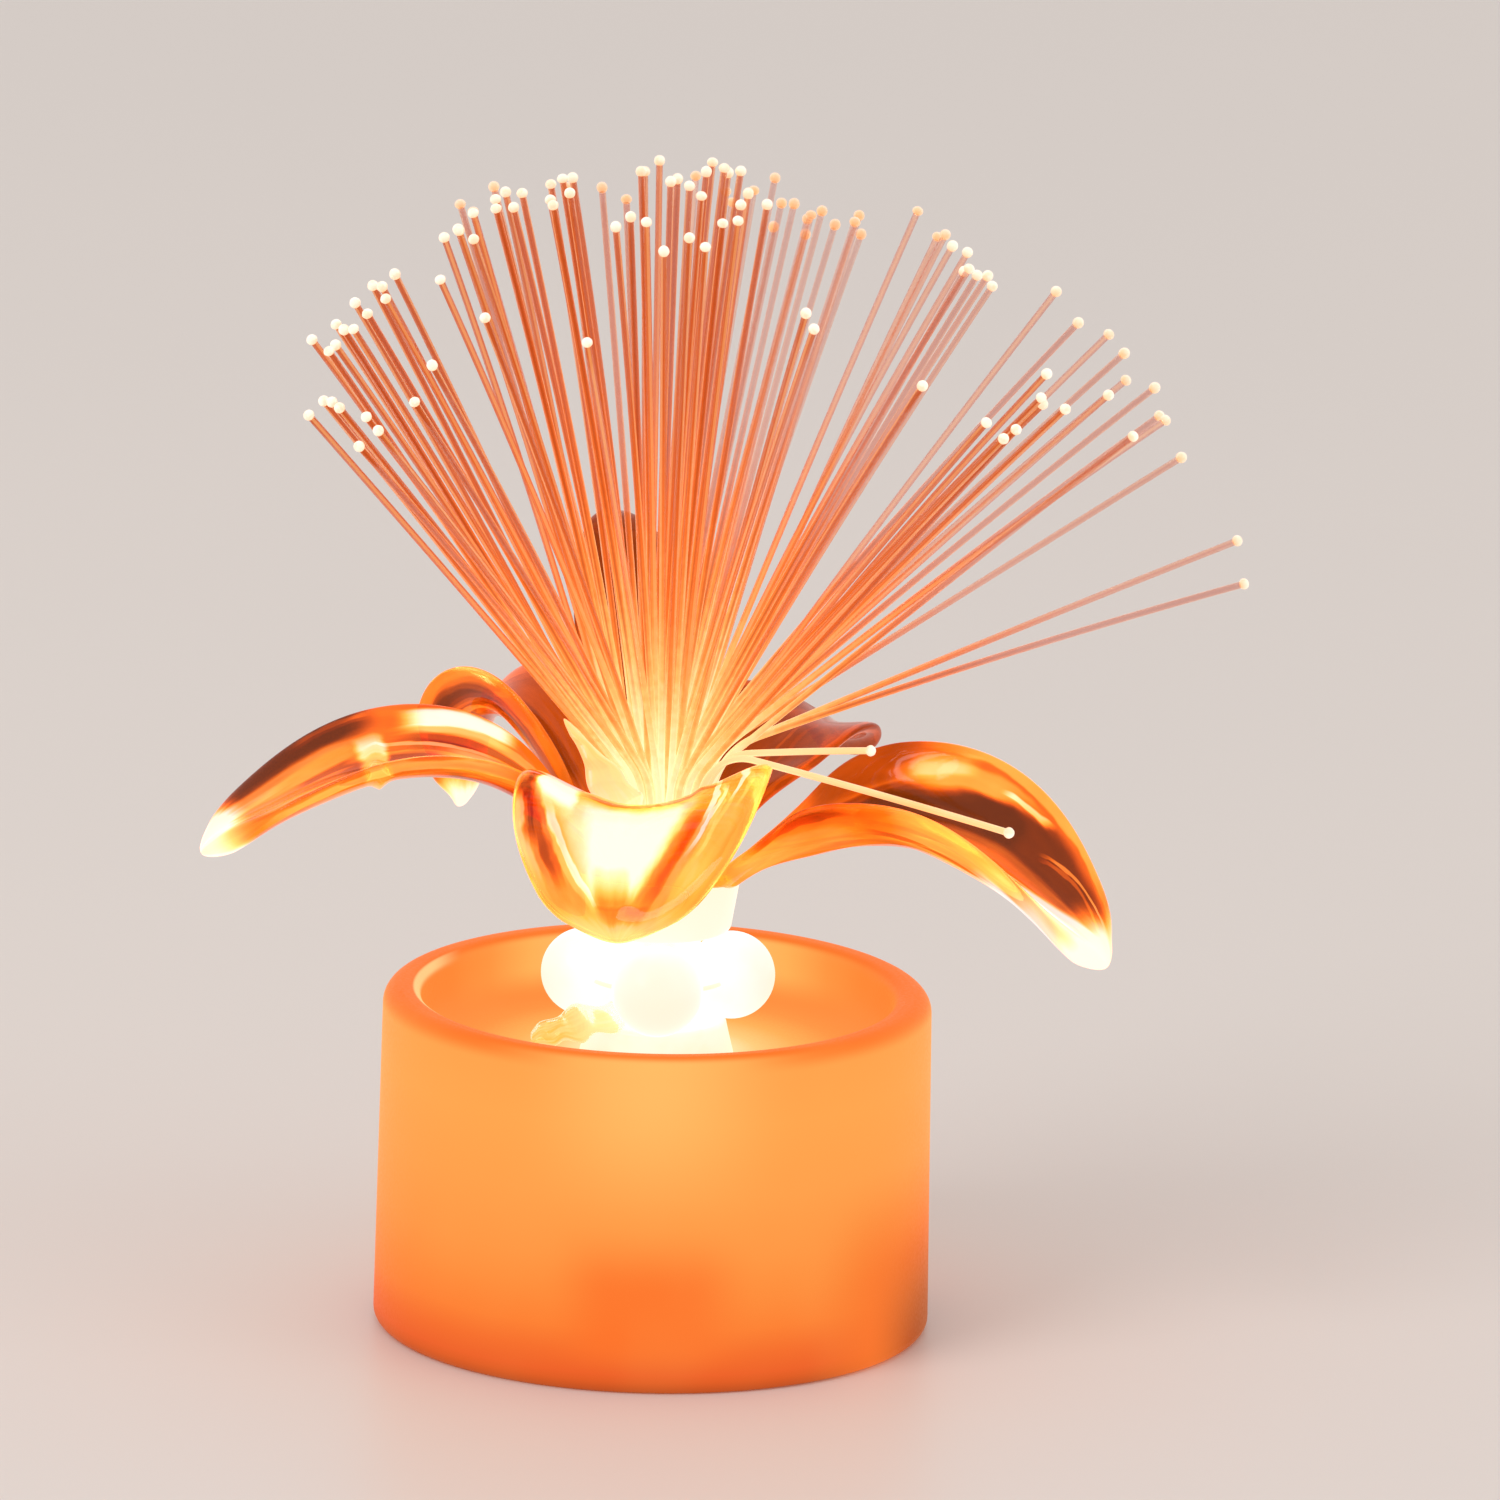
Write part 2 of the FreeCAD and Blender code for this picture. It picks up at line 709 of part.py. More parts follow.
def make_ferrule():
    return ring(ferrule_bore, ferrule_radius, collar_inner_floor, ferrule_top)


def make_leaf():
    """Small clear strip that comes out between two beads and ends cut off square."""
    points = [Vector(x, y, foot_top + z) for x, y, z in leaf_line]
    curve = Part.BSplineCurve()
    curve.interpolate(points)
    stations = []
    for step in range(6):
        place = curve.FirstParameter + (curve.LastParameter - curve.FirstParameter) * step / 5
        along = curve.tangent(place)[0]
        across = along.cross(Vector(0, 0, 1)).normalize()
        up = across.cross(along).normalize()
        stations.append((curve.value(place), across, up, leaf_width / 2, leaf_thickness / 2, 0.25))
    return blade(stations)


# ---- petals ----
def make_petal(name):
    bearing, swing, width, root_share, cup, roll, line = petals[name]
    root_width = petal_root_width * root_share
    out = polar(1, bearing)
    side = polar(1, bearing + swing / 2 + 90)
    per_reach = swing / (line[-1][0] - petal_root_radius)
    points = [polar(petal_root_radius, bearing, petal_root_height)]
    for reach, rise in line:
        swung = bearing + per_reach * (reach - petal_root_radius)
        points.append(polar(reach, swung, petal_root_height + rise))
    curve = Part.BSplineCurve()
    curve.interpolate(points)
    length = curve.length()
    stations = []
    for place, width_share, thickness_share, cup_share in petal_form:
        at = curve.parameterAtDistance(length * place, curve.FirstParameter)
        along = curve.tangent(at)[0]
        # the root stands level on the collar; everything after it is square to the line
        up = along.cross(side).normalize() if place else out * -1
        turn = math.radians(roll) * min(1.0, place / 0.4)
        across = side * math.cos(turn) + up * math.sin(turn)
        raised = up * math.cos(turn) - side * math.sin(turn)
        half_width = (root_width + (width - root_width) * width_share) / 2
        half_width = max(half_width, petal_thickness * 0.6)
        half_thickness = petal_thickness * thickness_share / 2
        depth = root_cup * root_share + (cup - root_cup * root_share) * cup_share
        stations.append((curve.value(at), across, raised, half_width, half_thickness, depth))
    return blade(stations)


# ---- fibres ----
def bundle_seats():
    """Places of the strands in the bundle: one in the middle and rings of 6, 12, 18 and so on round it."""
    seats = [Vector()]
    for number in range(1, bundle_rings + 1):
        for step in range(6 * number):
            seats.append(polar(number * fibre_pitch, 360.0 * step / (6 * number) + 13 * number))
    return seats


def spray_aims():
    """For each strand: its group, the place of its tip from the middle of the spray, and its bow."""
    scatter = random.Random(7)
    aims = []
    golden = math.pi * (3 - math.sqrt(5))
    for group, members in tuft_shares.items():
        for right, back, strands, radius in members:
            for number in range(strands):
                away = radius * math.sqrt((number + 0.5) / strands)
                angle = number * golden + right * tuft_turn_per_share
                x = spray_radius * (right + away * math.cos(angle))
                y = spray_radius * (back + away * math.sin(angle))
                reach = spray_radius + scatter.uniform(-1, 1) * spray_scatter
                bow = math.radians(fibre_bow_deg) * scatter.uniform(0.2, 1.6)
                aims.append((group, Vector(x, y, math.sqrt(reach * reach - x * x - y * y)), bow))
    return aims


def seat_strands(aims):
    """Give each aim a seat, swapping two seats wherever their strands would cross."""
    level = [Vector(tip.x, tip.y, 0) for _, tip, _ in aims]
    order = sorted(range(len(aims)), key=lambda i: level[i].Length)
    seats = bundle_seats()[: len(aims)]
    given = {index: seats[rank] for rank, index in enumerate(order)}
    swapped = True
    while swapped:
        swapped = False
        for first in range(len(aims)):
            for second in range(first):
                apart = given[first] - given[second]
                if apart.dot(level[first] - level[second]) < -1e-6:
                    given[first], given[second] = given[second], given[first]
                    swapped = True
    return [given[index] for index in range(len(aims))]


def strand_line(seat, bearing_vector, turn, bend_radius, rest, bow):
    """Middle line of a fibre: up its seat, round a bend, then on with a slight bow to its tip."""
    foot = seat + Vector(0, 0, fibre_foot)
    bend_start = seat + Vector(0, 0, bend_height)
    centre = bend_start + bearing_vector * bend_radius
    level = Vector(0, 0, bend_radius)

    def on_bend(angle):
        return centre - bearing_vector * (bend_radius * math.cos(angle)) + level * math.sin(angle)

    bend_end = on_bend(turn)
    bow_radius = rest / bow
    heading = bearing_vector * math.sin(turn) + Vector(0, 0, math.cos(turn))
    inward = bearing_vector * math.cos(turn) - Vector(0, 0, math.sin(turn))
    bow_centre = bend_end + inward * bow_radius

    def on_bow(angle):
        return bow_centre - inward * (bow_radius * math.cos(angle)) + heading * (bow_radius * math.sin(angle))

    return Part.Wire([
        Part.LineSegment(foot, bend_start).toShape(),
        Part.Arc(bend_start, on_bend(turn / 2), bend_end).toShape(),
        Part.Arc(bend_end, on_bow(bow / 2), on_bow(bow)).toShape(),
    ])


def strand(line):
    """Fibre along its middle line, with its melted tip."""
    foot = line.OrderedVertexes[0].Point
    last = line.OrderedEdges[-1]
    tip = last.valueAt(last.LastParameter)
    heading = last.tangentAt(last.LastParameter)
    section = Part.Face(Part.Wire(Part.makeCircle(fibre_diameter / 2, foot, Vector(0, 0, 1))))
    return line.makePipe(section).fuse(Part.makeSphere(tip_radius, tip, heading))


def bend_to(out, rise, bend_radius, bow):
    """Turn of the bend, and length after it, that bring a tip this far out and this far up."""
    low, high = 0.0, math.radians(88)
    for _ in range(50):
        turn = (low + high) / 2
        chord = (out - bend_radius * (1 - math.cos(turn))) / math.sin(turn + bow / 2)
        if bend_radius * math.sin(turn) + chord * math.cos(turn + bow / 2) > rise:
            low = turn
        else:
            high = turn
    return turn, chord * (bow / 2) / math.sin(bow / 2)


def spray_lines():
    """Middle lines of the strands by group; the two strays take the outermost free seats."""
    aims = spray_aims()
    stray_aims = [("stray", polar(0.99 * spray_radius, bearing), 0.0) for bearing, _, _, _ in strays]
    everything = aims + stray_aims
    groups = {}
    for (group, tip, bow), seat in zip(everything, seat_strands(everything)):
        if group == "stray":
            bearing, turn_deg, bend_radius, length = strays[len(groups.get(group, []))]
            direction = polar(1, bearing)
            turn = math.radians(turn_deg)
            rest = length - bend_radius * turn
            bow = math.radians(stray_bow_deg)
        else:
            level = Vector(tip.x, tip.y, 0) - seat
            direction = Vector(level).normalize()
            bend_radius = bend_line_radius - seat.dot(direction)
            rise = tip.z + spray_rise
            bow = min(bow, math.atan(level.Length / rise))
            turn, rest = bend_to(level.Length, rise, bend_radius, bow)
        groups.setdefault(group, []).append(strand_line(seat, direction, turn, bend_radius, rest, bow))
    return groups


def main():
    pieces = {
        "base_shell": make_base_shell(),
        "bottom_cover": make_bottom_cover(),
        "battery_cap": make_battery_cap(),
        "coin_cell": make_coin_cell(),
        "contact_negative": make_contact_negative(),
        "contact_positive": make_contact_positive(),
        "circuit_board": make_circuit_board(),
        "board_screws": make_board_screws(),
        "resistor": make_resistor(),
        "led": make_led(),
        "led_leads": make_led_leads(),
        "switch_body": make_switch_body(),
        "switch_knob": make_switch_knob(),
        "switch_terminals": make_switch_terminals(),
        "switch_wire_front": make_switch_wire(-1),
        "switch_wire_middle": make_switch_wire(0),
        "stem_foot": make_stem_foot(),
        "foot_retainer": make_foot_retainer(),
        "light_pipe": make_light_pipe(),
        "stem_tube": make_stem_tube(),
        "bead_wire": make_bead_wire(),
        "stem_collar": make_stem_collar(),
        "ferrule": make_ferrule(),
        "small_leaf": make_leaf(),
    }
    for name in bead_places():
        pieces["bead_" + name] = make_bead(name)
    for name in petals:
        pieces["petal_" + name] = make_petal(name)
    for group, lines in spray_lines().items():
        pieces["fibres_" + group] = Part.makeCompound([strand(line) for line in lines])
    os.makedirs("parts", exist_ok=True)
    for name, shape in pieces.items():
        if not shape.isValid():
            print("not valid:", name)
        shape.exportStep("parts/" + name + ".step")
        print(name, len(shape.Solids), "solids", round(shape.Volume, 2), "mm3")


main()
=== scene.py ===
"""Finishes, glass petals and light fibres of a small flower lamp, laid out as a Blender add-on.

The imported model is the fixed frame. Sizes here are in millimetres and become metres where meshes are made.
"""

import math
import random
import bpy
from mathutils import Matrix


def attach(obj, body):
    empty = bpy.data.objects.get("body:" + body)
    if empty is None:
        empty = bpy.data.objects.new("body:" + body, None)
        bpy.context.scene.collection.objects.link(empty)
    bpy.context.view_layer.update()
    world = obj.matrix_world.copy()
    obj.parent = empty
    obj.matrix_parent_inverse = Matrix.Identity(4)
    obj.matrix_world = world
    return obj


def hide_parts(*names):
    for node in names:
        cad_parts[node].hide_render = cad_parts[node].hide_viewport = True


bl_info = {
    "name": "Fibre Optic Flower Lamp",
    "version": (1, 0, 0),
    "blender": (4, 5, 0),
    "location": "View3D > Sidebar > Flower Lamp",
    "description": "Dresses a fibre optic flower lamp with frosted plastic, clear petals and glowing fibres",
    "category": "Object",
}

import bpy
import numpy as np
from bpy.props import FloatProperty, FloatVectorProperty, IntProperty, PointerProperty
from mathutils import Matrix, Vector

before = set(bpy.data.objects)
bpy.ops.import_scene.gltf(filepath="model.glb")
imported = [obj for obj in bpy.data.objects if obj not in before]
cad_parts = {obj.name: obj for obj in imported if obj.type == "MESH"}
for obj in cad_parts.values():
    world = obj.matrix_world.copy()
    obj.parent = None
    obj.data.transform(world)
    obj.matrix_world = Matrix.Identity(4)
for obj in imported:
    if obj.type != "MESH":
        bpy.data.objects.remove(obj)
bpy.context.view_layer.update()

MM = 0.001


def tone(red, green, blue):
    """A colour written in 0-255 screen values, as the linear colour that sockets take."""
    return tuple(
        (c / 255 / 12.92) if c <= 10 else ((c / 255 + 0.055) / 1.055) ** 2.4 for c in (red, green, blue)
    )


# ---- shader expressions ----
def sign(operation, reflected=False):
    """The method for one of Python's signs: a Math node of a value and another value or number."""

    def apply(self, other):
        first, second = (other, self) if reflected else (self, other)
        return self.paint.node("ShaderNodeMath", {"operation": operation}, {0: first, 1: second})

    return apply


class Value:
    """A node's output that Python's own signs work on."""

    def __init__(self, paint, socket):
        self.paint = paint
        self.socket = socket

    __add__, __radd__ = sign("ADD"), sign("ADD", True)
    __sub__, __rsub__ = sign("SUBTRACT"), sign("SUBTRACT", True)
    __mul__, __rmul__ = sign("MULTIPLY"), sign("MULTIPLY", True)
    __truediv__, __pow__ = sign("DIVIDE"), sign("POWER")


class Paint:
    """A material that is built up from expressions."""

    def __init__(self, name):
        self.material = bpy.data.materials.new(name)
        self.material.use_nodes = True
        self.tree = self.material.node_tree
        self.tree.nodes.clear()

    def node(self, kind, settings=None, inputs=None, output=0):
        """Any node: its settings first, then values or links for its sockets."""
        made = self.tree.nodes.new(kind)
        for key, value in (settings or {}).items():
            if key == "stops":
                elements = made.color_ramp.elements
                while len(elements) < len(value):
                    elements.new(1.0)
                for element, (position, color) in zip(elements, value):
                    element.position = position
                    element.color = (*color, 1.0)
            else:
                setattr(made, key, value)
        for key, value in (inputs or {}).items():
            if isinstance(value, Value):
                self.tree.links.new(value.socket, made.inputs[key])
            else:
                made.inputs[key].default_value = value
        return Value(self, made.outputs[output]) if made.outputs else None

    def place(self):
        return self.node("ShaderNodeTexCoord", output="Object")

    def axes(self):
        """The three coordinates of a point, in metres."""
        apart = self.node("ShaderNodeSeparateXYZ", inputs={0: self.place()})
        return [Value(self, apart.socket.node.outputs[i]) for i in range(3)]

    def marked(self, name):
        """A value that the mesh carries at its points."""
        return self.node("ShaderNodeAttribute", {"attribute_name": name}, output="Fac")

    def noise(self, scale, detail=2.0, vector=None):
        return self.node(
            "ShaderNodeTexNoise", inputs={"Vector": vector or self.place(), "Scale": scale, "Detail": detail}
        )

    def ramp(self, factor, stops):
        """Colours along a value, even between stops of (value, colour) in ascending order."""
        low, high = stops[0][0], stops[-1][0]
        share = (factor - low) / (high - low)
        made = self.node(
            "ShaderNodeValToRGB", {"stops": [((at - low) / (high - low), color) for at, color in stops]}, {0: share}
        )
        made.socket.node.color_ramp.interpolation = "LINEAR"
        return made

    def mix(self, factor, first, second):
        """Goes from the first colour to the second; a factor past 0 or 1 is held there."""
        first, second = [c if isinstance(c, Value) else (*c, 1.0) for c in (first, second)]
        return self.node(
            "ShaderNodeMix", {"data_type": "RGBA", "clamp_factor": True}, {0: factor, 6: first, 7: second}, 2
        )

    def dim(self, color, share):
        """A colour with a share of it taken away."""
        return self.mix(share, color, (0.0, 0.0, 0.0))

    def between(self, value, low, high, start=0.0, end=1.0):
        """Goes smoothly from start to end while a value goes from low to high."""
        return self.node(
            "ShaderNodeMapRange", {"interpolation_type": "SMOOTHSTEP"}, {0: value, 1: low, 2: high, 3: start, 4: end}
        )

    def rough(self, grain, low, high):
        """Roughness that follows a grain."""
        return self.between(grain, 0.3, 0.7, low, high)

    def bump(self, height, strength, depth):
        return self.node("ShaderNodeBump", inputs={"Height": height, "Strength": strength, "Distance": depth})

    def surface(self, **sockets):
        """The plastic, metal or glass itself; a socket's name is written with underscores."""
        inputs = {}
        for key, value in sockets.items():
            if isinstance(value, tuple) and len(value) == 3:
                value = (*value, 1.0)
            inputs[key.replace("_", " ")] = value
        made = self.node("ShaderNodeBsdfPrincipled", inputs=inputs)
        self.node("ShaderNodeOutputMaterial", inputs={0: made})
        return self.material


# ---- settings ----
def colour(name, description, red, green, blue):
    return FloatVectorProperty(
        name=name, description=description, default=tone(red, green, blue), subtype="COLOR", min=0.0, max=1.0
    )


def length(name, description, default):
    return FloatProperty(name=name, description=description, default=default * MM, unit="LENGTH", precision=5)


class BaseLook(bpy.types.PropertyGroup):
    wall_low: colour("Low wall", "Glow of the wall just over the table", 238, 99, 42)
    wall_middle: colour("Middle wall", "Glow of the wall at a third of its height", 254, 141, 60)
    wall_high: colour("High wall", "Glow of the upper wall", 255, 161, 76)
    dish_near: colour("Dish by the stem", "Glow of the dish's floor round the stem", 254, 150, 70)
    dish_far: colour("Dish by the rim", "Glow of the dish's floor towards its rim", 254, 142, 62)
    grain: length("Frost grain", "Size of the grain in the frosted plastic", 0.35)


class GlowLook(bpy.types.PropertyGroup):
    white: colour("Bead glow", "Glow of the frosted beads", 255, 253, 248)
    cream: colour("Stem glow", "Glow of the frosted collar and foot", 255, 240, 212)
    honey: colour("Honey", "Glow of clear plastic close to the light", 255, 205, 118)
    amber: colour("Amber", "Clear plastic further out", 240, 125, 38)
    umber: colour("Umber", "Clear plastic where no light leaves it", 138, 56, 8)


class PetalShape(bpy.types.PropertyGroup):
    thickness: length("Thickness", "Thickness of a petal in its middle", 1.9)
    root_width: length("Root width", "Width of a petal where it stands on the collar", 7.0)
    ripple: length("Ripple", "Depth of the waves in the clear plastic", 0.16)
    rows: IntProperty(name="Rows", description="Rings of points along a petal", default=120, min=20)
    sides: IntProperty(name="Sides", description="Points round a petal's section", default=56, min=16)


class SprayShape(bpy.types.PropertyGroup):
    fibre: length("Fibre", "Diameter of a light fibre", 0.75)
    pitch: length("Pitch", "Distance between fibres in the bundle", 0.92)
    reach: length("Reach", "Distance of the melted tips from the middle of the spray", 66.5)
    tip: length("Tip", "Radius of a melted tip", 0.62)
    sides: IntProperty(name="Sides", description="Points round a fibre", default=10, min=6)


class StageLook(bpy.types.PropertyGroup):
    floor: colour("Floor", "Colour of the plain floor", 218, 208, 202)
    distance: FloatProperty(
        name="Camera distance", description="From the camera to the top of the base", default=2.5, unit="LENGTH"
    )
    key: FloatProperty(name="Key light", description="Power of the large light, in watts", default=6.0)
    sky: FloatProperty(name="Sky", description="Level of the light from all round", default=0.82)


# ---- mesh making ----
def new_piece(name, points, faces, material, marks=None):
    """A mesh object from points in millimetres; marks are values that the points carry."""
    mesh = bpy.data.meshes.new(name)
    mesh.from_pydata([tuple(p) for p in np.asarray(points) * MM], [], faces)
    mesh.update()
    mesh.polygons.foreach_set("use_smooth", [True] * len(mesh.polygons))
    for mark, values in (marks or {}).items():
        layer = mesh.attributes.new(mark, "FLOAT", "POINT")
        layer.data.foreach_set("value", np.asarray(values, np.float32))
    mesh.materials.append(material)
    piece = bpy.data.objects.new(name, mesh)
    bpy.context.scene.collection.objects.link(piece)
    return piece


def tube_faces(rows, sides, first=0):
    """Faces of a tube of rings, closed by its first and last ring."""
    faces = []
    for row in range(rows - 1):
        for side in range(sides):
            after = (side + 1) % sides
            low, high = first + row * sides, first + (row + 1) * sides
            faces.append((low + side, low + after, high + after, high + side))
    faces.append(tuple(first + side for side in reversed(range(sides))))
    faces.append(tuple(first + (rows - 1) * sides + side for side in range(sides)))
    return faces


def spline(knots, values, at):
    """Smooth curve through values at rising knots, read off at other places."""
    knots = np.asarray(knots, float)
    values = np.asarray(values, float)
    values = values.reshape(len(knots), -1)
    count = len(knots)
    gap = np.diff(knots)
    left = np.eye(count)
    right = np.zeros_like(values)
    for i in range(1, count - 1):
        left[i, i - 1 : i + 2] = gap[i - 1], 2 * (gap[i - 1] + gap[i]), gap[i]
        right[i] = 6 * ((values[i + 1] - values[i]) / gap[i] - (values[i] - values[i - 1]) / gap[i - 1])
    bend = np.linalg.solve(left, right)
    at = np.asarray(at, float)
    i = np.clip(np.searchsorted(knots, at, side="right") - 1, 0, count - 2)
    h = gap[i][:, None]
    t = (at - knots[i])[:, None]
    slope = (values[i + 1] - values[i]) / h - h * (2 * bend[i] + bend[i + 1]) / 6
    return values[i] + slope * t + bend[i] / 2 * t**2 + (bend[i + 1] - bend[i]) / (6 * h) * t**3


UP = np.array([0.0, 0.0, 1.0])


def unit(vectors):
    return vectors / np.linalg.norm(vectors, axis=-1, keepdims=True)


def lengths(points):
    """Length of a line up to each of its points."""
    return np.concatenate([[0], np.cumsum(np.linalg.norm(np.diff(points, axis=0), axis=1))])


def polar(radius, bearing, height=0.0):
    """A point at a distance from the lamp's axis, its bearing in degrees from the right."""
    angle = math.radians(bearing)
    return np.array([radius * math.cos(angle), radius * math.sin(angle), height])


# ---- petals ----
# a petal's root on the collar: its distance from the axis, its height and its cup
ROOT_REACH = 7.973
ROOT_HEIGHT = 50.6
ROOT_CUP = 1.0
# how much thicker the plastic is along a petal's sides
RIM_SHARE = 0.6
# place where a petal has its full roll
ROLLED_FROM = 0.4
# the rounded end: where it starts, its rows, their turn in radians, how far they close and how far they reach out
ROUND_FROM = 0.945
ROUND_ROWS = 24
ROUND_TURN = 1.53
ROUND_CLOSING = 0.998
END_STRETCH = 0.3
# points along the middle line that a petal's rows are read from
LINE_STEPS = 900
# along a petal: place on its length, then width, thickness and cup as shares
PETAL_FORM = [
    (0.00, 0.00, 1.00, 0.0),
    (0.12, 0.20, 1.00, 0.20),
    (0.26, 0.62, 1.00, 0.75),
    (0.42, 0.94, 0.95, 1.0),
    (0.58, 1.00, 0.90, 1.0),
    (0.72, 0.86, 0.95, 0.75),
    (0.85, 0.54, 1.15, 0.40),
    (0.94, 0.17, 1.45, 0.12),
    (0.975, -0.06, 1.40, 0.0),
    (1.00, -0.20, 1.30, 0.0),
]
# bearing at the root, swing of the bearing to the tip, widest width, root width as a share, cup, roll,
# and the middle line as (distance from the axis, rise over the root)
PETALS = {
    "front": (-88.5, -9, 27.2, 1.6, 6.2, 9,
              [(10.6, 6.4), (14.6, 10.4), (20.4, 11.4), (26.8, 8.4), (32.2, 1.0)]),
    "right": (-20, 0, 18.0, 1.0, 7.0, 10,
              [(11.6, 2.6), (18.0, 5.2), (25.0, 7.4), (31.5, 7.4), (38.0, 5.2), (44.8, 1.0), (51.4, -4.4)]),
    "left": (190, 0, 15.4, 0.84, 3.8, -8,
             [(10.8, 5.4), (15.8, 9.8), (23.0, 12.6), (32.0, 12.2), (38.0, 10.3), (45.5, 6.6), (50.2, 3.6)]),
    "back_left": (147.5, -9, 13.6, 0.5, 4.8, 8,
                  [(11.0, 6.0), (16.5, 11.8), (22.0, 14.6), (27.0, 12.4), (29.8, 2.4)]),
    "back_right": (56, 0, 18.0, 0.9, 3.0, 8,
                   [(11.0, 4.8), (17.0, 8.6), (24.0, 11.0), (31.0, 10.4), (37.0, 6.8)]),
    "back": (100, 0, 14.0, 0.3, -0.4, 10,
             [(10.0, 8.0), (14.5, 17.5), (22.0, 26.0), (30.0, 31.0), (36.5, 30.6)]),
}
# light in a petal: level of its body, of its root and of its tip
PETAL_LIGHT = {
    "front": (0.46, 0.66, 0.66),
    "right": (0.30, 0.44, 0.88),
    "left": (0.33, 0.46, 0.90),
    "back_left": (0.20, 0.30, 0.86),
    "back_right": (0.13, 0.18, 0.13),
    "back": (0.11, 0.16, 0.10),
}
